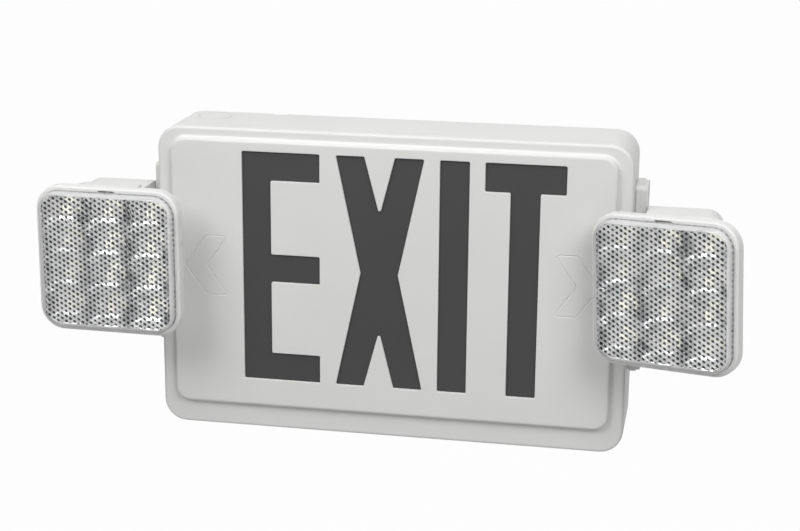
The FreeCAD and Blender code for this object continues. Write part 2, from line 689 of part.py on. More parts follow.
def make_electronics():
    """The charger board on its posts and what it carries."""
    board = box("board_blank", (0, BOARD_FRONT + s.board_thick / 2, s.board_rise),
                (s.board_width, s.board_thick, s.board_height))
    holes = []
    screws = []
    for index, (x, z) in enumerate(board_post_places()):
        holes.append(rod("board_hole_%d" % index, (x, BOARD_BACK + s.board_thick, z), s.post_hole_radius,
                         s.board_thick * 3, "-y"))
        shank = rod("board_screw_shank_%d" % index, (x, BOARD_FRONT, z),
                    s.post_hole_radius - s.fixed_clearance, s.post_height, "+y")
        head = rod("board_screw_head_%d" % index, (x, BOARD_FRONT, z), s.board_screw_head,
                   s.board_screw_head_height, "-y")
        screws.append(joined("board_screw_%d" % index, [shank, head]))
    pieces = [cut("charger_board", board, holes), grouped("board_screws", screws)]

    core_x = -s.transformer_shift
    core_y = BOARD_FRONT - s.coil_depth / 2
    window_x = (s.core_leg_width + s.core_window_width) / 2
    core = box("core_blank", (core_x, core_y, s.board_rise), (s.core_width, s.core_depth, s.core_height))
    windows = [box("core_window_%d" % index, (core_x + window_x * side, core_y, s.board_rise),
                   (s.core_window_width, s.core_depth * 2, s.core_window_height))
               for index, side in enumerate((-1, 1))]
    pieces.append(cut("transformer_core", core, windows))
    coil = box("coil_blank", (core_x, core_y, s.board_rise),
               (s.core_leg_width + s.core_window_width * 2 - s.coil_gap * 2, s.coil_depth,
                s.core_window_height - s.coil_gap * 2))
    leg = box("coil_leg", (core_x, core_y, s.board_rise),
              (s.core_leg_width + s.coil_gap * 2, s.core_depth + s.coil_gap * 2, s.core_height))
    pieces.append(cut("transformer_coil", coil, [leg]))

    cans = [rod("capacitor_%d" % index,
                (s.capacitor_shift + s.capacitor_pitch * index, BOARD_FRONT, s.board_rise + s.capacitor_rise),
                s.capacitor_radius, s.capacitor_height, "-y")
            for index in range(int(number(s.capacitor_count)))]
    pieces.append(grouped("board_capacitors", cans))

    block_place = (s.terminal_shift, BOARD_FRONT - s.terminal_depth / 2, s.board_rise - s.terminal_drop)
    block = box("terminal_blank", block_place, (s.terminal_width, s.terminal_depth, s.terminal_height))
    wire_holes = [rod("terminal_hole_%d" % index,
                      (s.terminal_shift + s.terminal_hole_pitch * index, block_place[1],
                       block_place[2] - s.terminal_height / 2 - 1),
                      s.terminal_hole_radius, s.terminal_height / 2 + 1, "+z") for index in (-1, 0, 1)]
    pieces.append(cut("terminal_block", block, wire_holes))
    return pieces


def make_battery():
    """The shrink-wrapped row of cells on the case's floor, with its strap."""
    count = int(number(s.cell_count))
    pitch = s.cell_radius * 2
    middle_y = BACK_INSIDE - s.cell_radius
    cells = [rod("cell_%d" % index, (pitch * (index - (count - 1) / 2), middle_y, FLOOR_INSIDE),
                 s.cell_radius, s.cell_length, "+z") for index in range(count)]
    wrap = box("cell_wrap", (0, middle_y, FLOOR_INSIDE + s.cell_length / 2),
               (pitch * (count - 1), pitch, s.cell_length))
    pack = joined("battery_pack", cells + [wrap])

    strap_z = FLOOR_INSIDE + s.strap_rise
    inner_width = pitch * count
    outer = box("strap_outer", (0, BACK_INSIDE - (pitch + s.strap_thick) / 2, strap_z),
                (inner_width + s.strap_thick * 2, pitch + s.strap_thick, s.strap_width))
    foot = box("strap_feet", (0, BACK_INSIDE - s.strap_thick / 2, strap_z),
               (inner_width + s.strap_foot * 2, s.strap_thick, s.strap_width))
    hollow = box("strap_hollow", (0, BACK_INSIDE - pitch / 2, strap_z),
                 (inner_width, pitch, s.strap_width * 2))
    return [pack, cut("battery_strap", joined("strap_blank", [outer, foot]), [hollow])]


def make_controls():
    """The test button, its switch and the pilot light under the case."""
    x = s.button_shift
    collar = FLOOR_INSIDE + s.seat_gap
    low = -HALF_HEIGHT - s.button_proud
    cap = rod("button_cap", (x, CONTROL_Y, low), s.button_radius, collar - low, "+z")
    flange = rod("button_collar", (x, CONTROL_Y, collar), s.button_flange, s.button_flange_thick, "+z")
    stem_low = collar + s.button_flange_thick
    stem = rod("button_stem", (x, CONTROL_Y, stem_low), s.button_stem_radius, s.button_stem_length, "+z")
    button = joined("test_button", [cap, flange, stem])

    clear = s.slide_clearance
    body = box("switch_blank", (x, CONTROL_Y, FLOOR_INSIDE + s.switch_height / 2),
               (s.switch_width, s.switch_width, s.switch_height))
    chamber_height = s.seat_gap + s.button_flange_thick + s.button_travel + s.seat_gap
    chamber = rod("switch_chamber", (x, CONTROL_Y, FLOOR_INSIDE - 1), s.button_flange + clear,
                  chamber_height + 1, "+z")
    guide = rod("switch_guide", (x, CONTROL_Y, FLOOR_INSIDE), s.button_stem_radius + clear,
                chamber_height + s.button_stem_length + s.seat_gap, "+z")
    switch = cut("test_switch", body, [chamber, guide])

    pilot_x = x + s.pilot_shift
    barrel = rod("pilot_barrel", (pilot_x, CONTROL_Y, -HALF_HEIGHT), s.pilot_radius - s.fixed_clearance,
                 s.case_wall, "+z")
    rim = rod("pilot_rim", (pilot_x, CONTROL_Y, FLOOR_INSIDE), s.pilot_flange, s.case_wall, "+z")
    dome = ball("pilot_dome", s.pilot_radius - s.fixed_clearance, (pilot_x, CONTROL_Y, -HALF_HEIGHT))
    return [button, switch, joined("pilot_lens", [barrel, rim, dome])]


# ---------------------------------------------------------------- side plates, arms and spindles

def make_side_plate(name):
    """The upright on the case's side, in two levels on a narrower neck, bored for the spindle."""
    plate = Moulding(name + "_blank")

    def add_level(start, inset, thick, rounding=None):
        level = plate.side_outline(s.plate_width - inset * 2, s.plate_height - inset * 2,
                                   s.plate_corner - inset, x=start, y=PLATE_Y, z=s.plate_rise)
        plate.pad(level, thick)
        if rounding is not None:
            plate.soften("Fillet", starts_at(start + thick), rounding)

    add_level(HALF_WIDTH, s.plate_neck_in, s.plate_neck)
    add_level(HALF_WIDTH + s.plate_neck, 0, s.plate_base, s.plate_base_edge)
    add_level(PLATE_BASE_OUTSIDE, s.plate_cap_in, s.plate_cap, s.plate_edge)
    bore_start = HALF_WIDTH - 1
    hole = rod(name + "_bore", (bore_start, TILT_Y, TILT_Z), s.spindle_radius + s.running_clearance,
               PLATE_OUTSIDE + 1 - bore_start, "+x")
    return cut(name, plate.body, [hole])


def make_arm_front(name):
    """The arm's front shell, with the spherical seat for the lamp head's ball."""
    shell = Moulding(name + "_shell")
    shell.pad(shell.tongue(s.arm_width, s.arm_height, s.arm_corner,
                           x=ARM_INSIDE, y=ARM_PARTING, z=s.head_rise), s.arm_front_depth)
    for face in (ARM_FRONT, ARM_PARTING):
        shell.soften("Fillet", both(at_depth(face), reaches_past(ARM_INSIDE)), s.arm_edge)
    bowl = ball(name + "_bowl", SEAT_RADIUS + s.seat_wall, PIVOT)
    bowl_keep = box(name + "_bowl_keep",
                    (ARM_INSIDE + s.arm_width / 2, ARM_PARTING + s.ball_radius / 2, s.head_rise),
                    (s.arm_width - s.arm_step * 2 - s.arm_wall * 2, s.ball_radius, s.arm_height))
    solid = joined(name + "_solid", [shell.body, common(name + "_bowl_cap", bowl, bowl_keep)])
    seat = ball(name + "_seat", SEAT_RADIUS, PIVOT)
    screw = rod(name + "_screw_hole", PIVOT,
                s.pivot_screw_radius + s.fixed_clearance, s.ball_radius * 2, "+y")
    return cut(name, solid, [seat, screw])


def make_arm_rear(name):
    """The arm's rear shell, with the knuckle that holds the spindle."""
    width = s.arm_width - s.arm_step
    height = s.arm_height - s.arm_step * 2
    corner = s.arm_corner - s.arm_step
    back = ARM_PARTING + s.arm_rear_depth
    shell = Moulding(name + "_shell")
    shell.pad(shell.tongue(width, height, corner, x=ARM_INSIDE, y=back, z=s.head_rise), s.arm_rear_depth)
    shell.soften("Fillet", both(at_depth(back), reaches_past(ARM_INSIDE)), s.arm_edge)
    inside = shell.tongue(width - s.arm_wall * 2, height - s.arm_wall * 2, corner - s.arm_wall,
                          x=ARM_INSIDE + s.arm_wall, y=back - s.arm_wall, z=s.head_rise)
    shell.pocket(inside, s.arm_rear_depth)
    barrel = rod(name + "_barrel", (ARM_INSIDE, TILT_Y, TILT_Z), s.knuckle_radius, s.knuckle_length, "+x")
    web_depth = TILT_Y - back + s.arm_wall
    web = box(name + "_web", (ARM_INSIDE + s.knuckle_length / 2, back - s.arm_wall + web_depth / 2, TILT_Z),
              (s.knuckle_length, web_depth, s.knuckle_radius * 2))
    bore = rod(name + "_bore", (ARM_INSIDE - 1, TILT_Y, TILT_Z), s.spindle_radius + s.fixed_clearance,
               s.spindle_reach + 1, "+x")
    bowl_room = ball(name + "_bowl_room", SEAT_RADIUS + s.seat_wall, PIVOT)
    return cut(name, joined(name + "_solid", [shell.body, barrel, web]), [bore, bowl_room])


def make_spindle_parts(side):
    """The hollow spindle through side plate and case, with its nut and washer inside the case."""
    inner_wall = HALF_WIDTH - s.case_wall
    washer_start = inner_wall - s.seat_gap
    nut_start = washer_start - s.washer_thick
    inner_end = nut_start - s.nut_thick - 1
    outer_end = ARM_INSIDE + s.spindle_reach
    length = outer_end - inner_end
    tube = rod(side + "_spindle_tube", (inner_end, TILT_Y, TILT_Z), s.spindle_radius, length, "+x")
    passage = rod(side + "_spindle_passage", (inner_end - 1, TILT_Y, TILT_Z), s.spindle_bore, length + 2, "+x")
    spindle = cut(side + "_spindle", tube, [passage])

    bore = s.spindle_radius + s.fixed_clearance
    disc = rod(side + "_washer_disc", (washer_start, TILT_Y, TILT_Z), s.washer_radius, s.washer_thick, "-x")
    disc_bore = rod(side + "_washer_bore", (washer_start + 1, TILT_Y, TILT_Z), bore, s.washer_thick + 2, "-x")
    washer = cut(side + "_spindle_washer", disc, [disc_bore])

    prism = hexagon(side + "_nut_prism", (nut_start, TILT_Y, TILT_Z), s.nut_width, s.nut_thick, "-x")
    nut_bore = rod(side + "_nut_bore", (nut_start + 1, TILT_Y, TILT_Z), bore, s.nut_thick + 2, "-x")
    return [spindle, washer, cut(side + "_spindle_nut", prism, [nut_bore])]


def make_pivot_parts(side):
    """The screw that holds the ball in its seat, with its washer inside the ball and its nut behind."""
    inside = s.ball_radius - s.ball_wall
    x, z = PIVOT_X, s.head_rise
    washer_back = PIVOT_Y + inside - s.pivot_washer_thick - s.seat_gap
    washer_front = washer_back - s.pivot_washer_thick
    head = rod(side + "_pivot_head", (x, washer_front, z), s.pivot_head_radius, s.pivot_head_height, "-y")
    nut_front = PIVOT_Y + SEAT_RADIUS + s.seat_wall
    shank = rod(side + "_pivot_shank", (x, washer_front, z), s.pivot_screw_radius,
                nut_front + s.pivot_nut_thick + 1 - washer_front, "+y")
    screw = joined(side + "_pivot_screw", [head, shank])
    bore = s.pivot_screw_radius + s.fixed_clearance
    disc = rod(side + "_pivot_disc", (x, washer_front, z), s.pivot_washer_radius, s.pivot_washer_thick, "+y")
    disc_bore = rod(side + "_pivot_disc_bore", (x, washer_front - 1, z), bore, s.pivot_washer_thick + 2, "+y")
    washer = cut(side + "_pivot_washer", disc, [disc_bore])
    prism = hexagon(side + "_pivot_prism", (x, nut_front, z), s.pivot_nut_width, s.pivot_nut_thick, "+y")
    nut_bore = rod(side + "_pivot_nut_bore", (x, nut_front - 1, z), bore, s.pivot_nut_thick + 2, "+y")
    return [screw, washer, cut(side + "_pivot_nut", prism, [nut_bore])]


def make_arms():
    """Both side plates and arms: the right ones, and the left ones mirrored from them."""
    right = [make_side_plate("right_side_plate"), make_arm_front("right_arm_front"),
             make_arm_rear("right_arm_rear")]
    right += make_spindle_parts("right")
    right += make_pivot_parts("right")
    left = [mirrored(piece.Name.replace("right", "left", 1), piece) for piece in right]
    return right + left


# ---------------------------------------------------------------- lamp heads, each in its own frame

def make_lamp_back(name):
    """The lamp's back plate with its hollow ball, slotted for the pivot screw."""
    plate = Moulding(name + "_plate")
    size = s.lens_size + s.lens_flange * 2
    plate.pad(plate.outline(size, size, s.lens_corner + s.lens_flange, y=BEZEL_BACK), s.back_thick)
    keep_depth = s.ball_radius
    keep = box(name + "_keep", (0, BEZEL_BACK - s.back_thick / 2 + keep_depth / 2, 0),
               (s.ball_radius * 2 + 2, keep_depth, s.ball_radius * 2 + 2))
    outside = common(name + "_outside", ball(name + "_ball", s.ball_radius), keep)
    hollow = ball(name + "_hollow", s.ball_radius - s.ball_wall)
    solid = cut(name + "_shell", joined(name + "_solid", [plate.body, outside]), [hollow])
    slot = box(name + "_slot", (0, s.ball_radius, 0), (s.slot_length, s.ball_radius / 2, s.slot_height))
    return cut(name, solid, [slot])


def make_bezel(name):
    """The square frame round the lens, with a release notch at top and bottom."""
    bezel = Moulding(name + "_frame")
    bezel.pad(bezel.outline(s.head_size, s.head_size, s.head_corner, y=BEZEL_BACK), s.bezel_depth)
    bezel.soften("Fillet", at_depth(BEZEL_FRONT), s.bezel_edge)
    opening = s.lens_size + s.fit_gap * 2
    bezel.pocket(bezel.outline(opening, opening, s.lens_corner + s.fit_gap, y=BEZEL_BACK), s.bezel_depth)
    recess = opening + s.lens_flange * 2
    recess_depth = s.back_thick + s.lens_flange_thick
    bezel.pocket(bezel.outline(recess, recess, s.lens_corner + s.fit_gap + s.lens_flange, y=BEZEL_BACK),
                 recess_depth)
    reach = opening / 2 + s.notch_depth / 2
    notch_length = s.bezel_depth - recess_depth - 1
    notches = [box("%s_notch_%d" % (name, index), (0, BEZEL_FRONT + notch_length / 2, reach * side),
                   (s.notch_width, notch_length, s.notch_depth)) for index, side in enumerate((-1, 1))]
    return cut(name, bezel.body, notches)


def make_lens(name):
    """The clear cap with a thin rim at its back that the bezel holds."""
    lens = Moulding(name)
    depth = FLANGE_FRONT - LENS_FRONT
    lens.pad(lens.outline(s.lens_size, s.lens_size, s.lens_corner, y=FLANGE_FRONT), depth)
    lens.soften("Fillet", at_depth(LENS_FRONT), s.lens_edge)
    rim = s.lens_size + s.lens_flange * 2
    lens.pad(lens.outline(rim, rim, s.lens_corner + s.lens_flange, y=FLANGE_FRONT), s.lens_flange_thick)
    inside = s.lens_size - s.lens_wall * 2
    hollow = lens.outline(inside, inside, s.lens_corner - s.lens_wall, y=FLANGE_FRONT)
    lens.pocket(hollow, depth - s.lens_wall)
    return lens.body


def cup_places():
    """The middle of each cup, as x and z."""
    columns, rows = int(number(s.cup_columns)), int(number(s.cup_rows))
    return [(s.cup_pitch_x * (column - (columns - 1) / 2), s.cup_pitch_z * (row - (rows - 1) / 2))
            for row in range(rows) for column in range(columns)]


def make_reflector(name):
    """The moulded tray of tapering cups, one to each LED."""
    size = s.lens_size - s.lens_wall * 2 - s.fit_gap * 2
    front = LENS_FRONT + s.lens_wall + s.fit_gap
    depth = LAMP_BOARD_FRONT - front
    tray = Moulding(name + "_tray")
    tray.pad(tray.outline(size, size, s.lens_corner - s.lens_wall - s.fit_gap, y=LAMP_BOARD_FRONT), depth)
    cups = []
    for index, (x, z) in enumerate(cup_places()):
        cup = MODEL.addObject("Part::Wedge", "%s_cup_%d" % (name, index))
        mouth_x = (s.cup_pitch_x - s.cup_rib) / 2
        mouth_z = (s.cup_pitch_z - s.cup_rib) / 2
        base = s.cup_base / 2
        bind(cup, Xmin=-mouth_x, Xmax=mouth_x, Zmin=-mouth_z, Zmax=mouth_z, Ymin=front, Ymax=LAMP_BOARD_FRONT,
             X2min=-base, X2max=base, Z2min=-base, Z2max=base)
        put(cup, x, 0, z)
        cups.append(cup)
    return cut(name, tray.body, cups)


def make_lamp_electrics(name):
    """The LED board against the lamp's back plate, and its LEDs."""
    size = s.lens_size - s.lens_wall * 2 - s.fit_gap * 2
    board = Moulding(name + "_board")
    board.pad(board.outline(size, size, s.lens_corner - s.lens_wall - s.fit_gap, y=FLANGE_FRONT),
              s.lamp_board_thick)
    leds = [box("%s_led_%d" % (name, index), (x, LAMP_BOARD_FRONT - s.lamp_led_height / 2, z),
                (s.lamp_led_size, s.lamp_led_height, s.lamp_led_size))
            for index, (x, z) in enumerate(cup_places())]
    return [board.body, grouped(name + "_leds", leds)]


def make_lamp_head(side, out, pan, cant):
    """One lamp head, built about its ball's centre and then set at its pan and cant."""
    name = side + "_lamp"
    pieces = [make_lamp_back(name + "_back"), make_bezel(name + "_bezel"), make_lens(name + "_lens"),
              make_reflector(name + "_reflector")]
    pieces += make_lamp_electrics(name)
    pose = "placement(vector(%s; %s; %s); rotation(%s; %s; 0))" % tuple(
        map(formula, (out, PIVOT_Y, s.head_rise, pan, cant)))
    for piece in pieces:
        piece.setExpression("Placement", pose)
    return pieces


# ---------------------------------------------------------------- the whole light

def make_everything():
    """All the nodes of the exit light."""
    nodes = [make_front_cover(), make_back_housing()]
    nodes += make_legend_parts()
    nodes += make_electronics()
    nodes += make_battery()
    nodes += make_controls()
    nodes += make_arms()
    nodes += make_lamp_head("left", -PIVOT_X, s.left_pan, s.left_cant)
    nodes += make_lamp_head("right", PIVOT_X, s.right_pan, s.right_cant)
    return nodes


def check_and_export(nodes):
    """Stop on a failed object, then write one STEP file for each node."""
    MODEL.recompute()
    failed = [item.Name for item in MODEL.Objects if {"Invalid", "Error"} & set(item.State)]
    if failed:
        raise ValueError("failed objects: " + ", ".join(failed))
    os.makedirs(PARTS_FOLDER, exist_ok=True)
    for node in nodes:
        node.Label = node.Name
        if node.Shape.isNull() or not node.Shape.isValid():
            raise ValueError("bad shape: " + node.Label)
    for node in nodes:
        node.Shape.exportStep(os.path.join(PARTS_FOLDER, node.Label + ".step"))


check_and_export(make_everything())
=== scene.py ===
"""The looks of the emergency exit light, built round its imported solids.

Frame, in metres: +X to the right as the sign is read, +Y into the wall, +Z up.
Sizes in the classes are in millimetres, and MM turns them into metres.
"""

import json
import logging
import math
from dataclasses import dataclass, field
from enum import Enum

import bmesh
import bpy
import numpy as np
from mathutils import Matrix, Vector
from mathutils.geometry import tessellate_polygon


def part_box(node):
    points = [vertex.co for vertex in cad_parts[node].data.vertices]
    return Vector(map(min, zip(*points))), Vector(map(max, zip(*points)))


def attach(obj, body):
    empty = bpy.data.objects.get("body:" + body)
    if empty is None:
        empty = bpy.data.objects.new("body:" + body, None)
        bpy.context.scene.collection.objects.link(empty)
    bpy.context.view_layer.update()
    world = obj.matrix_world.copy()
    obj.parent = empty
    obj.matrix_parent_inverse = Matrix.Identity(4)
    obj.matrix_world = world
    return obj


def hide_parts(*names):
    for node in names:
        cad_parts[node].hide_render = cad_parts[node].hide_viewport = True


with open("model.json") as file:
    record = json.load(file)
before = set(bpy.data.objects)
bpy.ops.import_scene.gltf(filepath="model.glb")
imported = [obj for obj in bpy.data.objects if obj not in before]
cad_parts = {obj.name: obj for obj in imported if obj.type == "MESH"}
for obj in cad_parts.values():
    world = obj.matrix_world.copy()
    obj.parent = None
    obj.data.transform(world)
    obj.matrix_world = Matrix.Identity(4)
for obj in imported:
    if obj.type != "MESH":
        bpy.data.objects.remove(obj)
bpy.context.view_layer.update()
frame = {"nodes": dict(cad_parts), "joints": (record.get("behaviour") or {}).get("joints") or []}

MM = 0.001
# Points nearer than this, in metres, are one point.
SAME_PLACE = 1e-6
LOG = logging.getLogger("exit_light")


# ---------------------------------------------------------------- colour and nodes

def linear(colour: str) -> tuple[float, float, float, float]:
    """Turn an sRGB hex colour into linear light.

    Formula: a channel c up to 0.04045 becomes c / 12.92, and one above it ((c + 0.055) / 1.055) ** 2.4.

    Args:
        colour: Six hex digits after a #.

    Returns:
        Red, green, blue and an alpha of 1.
    """
    channels = np.array([int(colour[i:i + 2], 16) for i in (1, 3, 5)]) / 255
    light = np.where(channels <= 0.04045, channels / 12.92, ((channels + 0.055) / 1.055) ** 2.4)
    return (*map(float, light), 1.0)


def add_node(tree: bpy.types.NodeTree, kind: str, inputs: dict | None = None,
             **settings: object) -> bpy.types.Node:
    """Add a node with its settings, socket values and links.

    Args:
        tree: The node tree.
        kind: The node's type name.
        inputs: A value or an output socket for each input, by name or number.
        **settings: Properties of the node.

    Returns:
        The new node.
    """
    node = tree.nodes.new(kind)
    for name, value in settings.items():
        setattr(node, name, value)
    for name, value in (inputs or {}).items():
        if isinstance(value, bpy.types.NodeSocket):
            tree.links.new(value, node.inputs[name])
        else:
            node.inputs[name].default_value = value
    return node


def new_material(name: str) -> tuple[bpy.types.Material, bpy.types.NodeTree, bpy.types.Node]:
    """Make a material with nodes.

    Args:
        name: Its name.

    Returns:
        The material, its node tree and its shader.
    """
    made = bpy.data.materials.new(name)
    made.use_nodes = True
    return made, made.node_tree, made.node_tree.nodes["Principled BSDF"]


# ---------------------------------------------------------------- finishes

class Grain(Enum):
    """How a surface's fine relief is laid."""

    SPARK = "fine even pits of a spark-eroded mould"
    BRUSHED = "long fine lines"
    ROLLED = "soft long waves of rolled sheet"
    PLAIN = "polished"


# A soft noise seldom leaves this range.
NOISE_LOW, NOISE_HIGH = 0.3, 0.7
COAT_ROUGHNESS = 0.08


@dataclass(frozen=True)
class Finish:
    """A moulded, coated or machined surface that light doesn't pass through."""

    name: str
    colour: str
    second: str
    roughness: float
    spread: float = 0.06
    metallic: float = 0.0
    grain: Grain = Grain.PLAIN
    grain_mm: float = 0.6
    relief_mm: float = 0.02
    patch_mm: float = 60.0
    coat: float = 0.0
    glow: float = 0.0

    def stretch(self) -> tuple[float, float, float]:
        """How much the grain is drawn out along each axis."""
        return {Grain.BRUSHED: (0.06, 1, 1), Grain.ROLLED: (0.3, 1, 1)}.get(self.grain, (1, 1, 1))

    def material(self) -> bpy.types.Material:
        """Make the material: uneven tone and gloss in soft patches, with the grain as relief.

        Returns:
            The material, named for the finish.
        """
        made, tree, shader = new_material(self.name)
        place = add_node(tree, "ShaderNodeTexCoord").outputs["Object"]
        # A noise at scale s repeats about every 1 / s metres.
        patches = add_node(tree, "ShaderNodeTexNoise", {"Vector": place, "Scale": 1 / (self.patch_mm * MM),
                                                         "Detail": 2.0})
        tone = add_node(tree, "ShaderNodeMix", {0: patches.outputs["Fac"], 6: linear(self.colour),
                                                7: linear(self.second)}, data_type="RGBA")
        tree.links.new(tone.outputs[2], shader.inputs["Base Color"])
        gloss = add_node(tree, "ShaderNodeMapRange", {"Value": patches.outputs["Fac"],
                                                      "From Min": NOISE_LOW, "From Max": NOISE_HIGH,
                                                      "To Min": self.roughness - self.spread / 2,
                                                      "To Max": self.roughness + self.spread / 2})
        tree.links.new(gloss.outputs["Result"], shader.inputs["Roughness"])
        shader.inputs["Metallic"].default_value = self.metallic
        if self.coat:
            shader.inputs["Coat Weight"].default_value = self.coat
            shader.inputs["Coat Roughness"].default_value = COAT_ROUGHNESS
        # A glow gives the part light of its own; on the LED phosphor it is a painted glow, as the LEDs are
        # not lit.
        if self.glow:
            shader.inputs["Emission Color"].default_value = linear(self.colour)
            shader.inputs["Emission Strength"].default_value = self.glow
        if self.grain is not Grain.PLAIN:
            drawn = add_node(tree, "ShaderNodeMapping", {"Vector": place, "Scale": self.stretch()})
            pits = add_node(tree, "ShaderNodeTexNoise", {"Vector": drawn.outputs["Vector"],
                                                         "Scale": 1 / (self.grain_mm * MM), "Detail": 3.0,
                                                         "Roughness": 0.6})
            relief = add_node(tree, "ShaderNodeBump", {"Height": pits.outputs["Fac"], "Strength": 1.0,
                                                       "Distance": self.relief_mm * MM})
            tree.links.new(relief.outputs["Normal"], shader.inputs["Normal"])
        return made


# Injection-moulded white ABS: a fine satin from the spark-eroded mould, almost even in tone.
# The real pits are about 0.1 mm across. They are drawn at 0.8 mm, the smallest that shows.
WHITE_ABS = Finish("white_abs_satin_moulding", "#E9E9E8", "#E3E3E2", 0.42, grain=Grain.SPARK,
                   grain_mm=0.8, relief_mm=0.012, patch_mm=70)
# The same resin, polished at the bezels: the light draws a sharper line on its edges.
BEZEL_ABS = Finish("white_abs_bezel_moulding", "#EEEEED", "#E9E9E8", 0.30, grain=Grain.SPARK,
                   grain_mm=0.8, relief_mm=0.008, patch_mm=50)
# Smoked polystyrene sheet behind the legend: nearly black, evenly matt.
SMOKED_SHEET = Finish("smoked_polystyrene_sheet", "#3A3A3A", "#373737", 0.6, grain=Grain.SPARK,
                      grain_mm=1.0, relief_mm=0.01, patch_mm=90)
# Titanium-white polystyrene of the light box: matt and bright, to throw the light forward.
LIGHT_BOX_WHITE = Finish("matt_white_polystyrene", "#F2F2F0", "#ECECEA", 0.7, grain=Grain.SPARK, grain_mm=1.0)
# Solder mask over glass-epoxy board: a thin gloss over the weave, which is drawn as a soft grain.
WHITE_BOARD = Finish("white_solder_mask", "#EDEFEA", "#E2E6E0", 0.35, grain=Grain.SPARK,
                     grain_mm=0.7, coat=0.4)
GREEN_BOARD = Finish("green_solder_mask", "#1F5A33", "#184A2A", 0.35, grain=Grain.SPARK,
                     grain_mm=0.7, coat=0.5)
# Phosphor under clear silicone: pale, with a painted glow, as the LEDs are not lit.
LED_PHOSPHOR_PAINTED_GLOW = Finish("led_phosphor_painted_glow", "#FBF9EE", "#F4EFD6", 0.2, coat=0.6, glow=0.5)
# Zinc-plated steel: pale grey with a rolled grain and a little clouding.
ZINC_STEEL = Finish("zinc_plated_steel", "#B9BBBA", "#A6A9AA", 0.34, spread=0.14, metallic=1.0,
                    grain=Grain.ROLLED, grain_mm=1.2, relief_mm=0.01, patch_mm=6)
# Varnished silicon-steel laminations: dark, with the lines of the stacked sheets.
LAMINATIONS = Finish("varnished_laminations", "#3A3A3D", "#2D2D30", 0.5, metallic=0.4,
                     grain=Grain.BRUSHED, grain_mm=0.8, relief_mm=0.06, patch_mm=20)
# Polyester tape round the winding: amber, smooth, with slack places that catch the light.
COIL_TAPE = Finish("polyester_winding_tape", "#C79A2C", "#B98A20", 0.25, grain=Grain.ROLLED,
                   grain_mm=9, relief_mm=0.15, patch_mm=15, coat=0.5)
# Shrunk vinyl sleeves: thin, glossy and slightly wavy.
CAN_SLEEVE = Finish("vinyl_capacitor_sleeve", "#22283C", "#1B2031", 0.28, grain=Grain.ROLLED,
                    grain_mm=5, relief_mm=0.05, patch_mm=12, coat=0.4)
CELL_WRAP = Finish("shrunk_cell_wrap", "#2F5B86", "#284F76", 0.3, grain=Grain.ROLLED,
                   grain_mm=12, relief_mm=0.2, patch_mm=25, coat=0.4)
# Glass-filled nylon of the terminal block: dull green.
GREEN_NYLON = Finish("green_filled_nylon", "#3C7F56", "#34704B", 0.5, grain=Grain.SPARK, grain_mm=0.6)
BLACK_NYLON = Finish("black_filled_nylon", "#262626", "#1E1E1E", 0.5, grain=Grain.SPARK, grain_mm=0.6)
# Polished ABS of the test button, and the clear red acrylic of the pilot light.
RED_BUTTON = Finish("red_abs_button", "#B3221D", "#A61E1A", 0.22, grain=Grain.SPARK,
                    grain_mm=0.8, relief_mm=0.004, patch_mm=8, coat=0.3)
RED_ACRYLIC = Finish("red_acrylic_pilot", "#C3261F", "#A81C18", 0.08, patch_mm=6, coat=0.8, glow=0.05)
# Free-cutting brass: turned, with fine rings that read as a brushed grain.
TURNED_BRASS = Finish("turned_brass", "#C9A75A", "#B99548", 0.28, spread=0.1, metallic=1.0,
                      grain=Grain.BRUSHED, grain_mm=0.5, relief_mm=0.01, patch_mm=15)


@dataclass(frozen=True)
class LensFinish:
    """Clear polycarbonate with small dimples, whose floors carry a painted shade for the gaps between the
    cups behind.
    """

    name: str = "clear_polycarbonate_lens"
    clear: str = "#FFFFFF"
    painted_shade: str = "#0C0C0D"
    clear_below: float = 0.2
    painted_shade_above: float = 0.5
    roughness: float = 0.07
    index: float = 1.3
    through: float = 0.9
    frosted: float = 0.45

    def material(self) -> bpy.types.Material:
        """Make the material, clear between the dimples, with painted shade on their floors and frosted at the
        edge.

        Returns:
            The material.
        """
        made, tree, shader = new_material(self.name)
        # The attribute holds the painted shade on the dimples' floors, from 0 to 1, and -1 where the lens is
        # frosted.
        floor = add_node(tree, "ShaderNodeAttribute", attribute_name="dimple_painted_shade").outputs["Fac"]
        ramp = add_node(tree, "ShaderNodeValToRGB", {"Fac": floor})
        clear, painted_shade = ramp.color_ramp.elements
        clear.position, clear.color = self.clear_below, linear(self.clear)
        painted_shade.position, painted_shade.color = self.painted_shade_above, linear(self.painted_shade)
        tree.links.new(ramp.outputs["Color"], shader.inputs["Base Color"])
        shader.inputs["Roughness"].default_value = self.roughness
        shader.inputs["IOR"].default_value = self.index
        passing = add_node(tree, "ShaderNodeMapRange", {"Value": floor, "From Min": -1.0, "From Max": 0.0,
                                                        "To Min": self.frosted, "To Max": self.through})
        tree.links.new(passing.outputs["Result"], shader.inputs["Transmission Weight"])
        return made


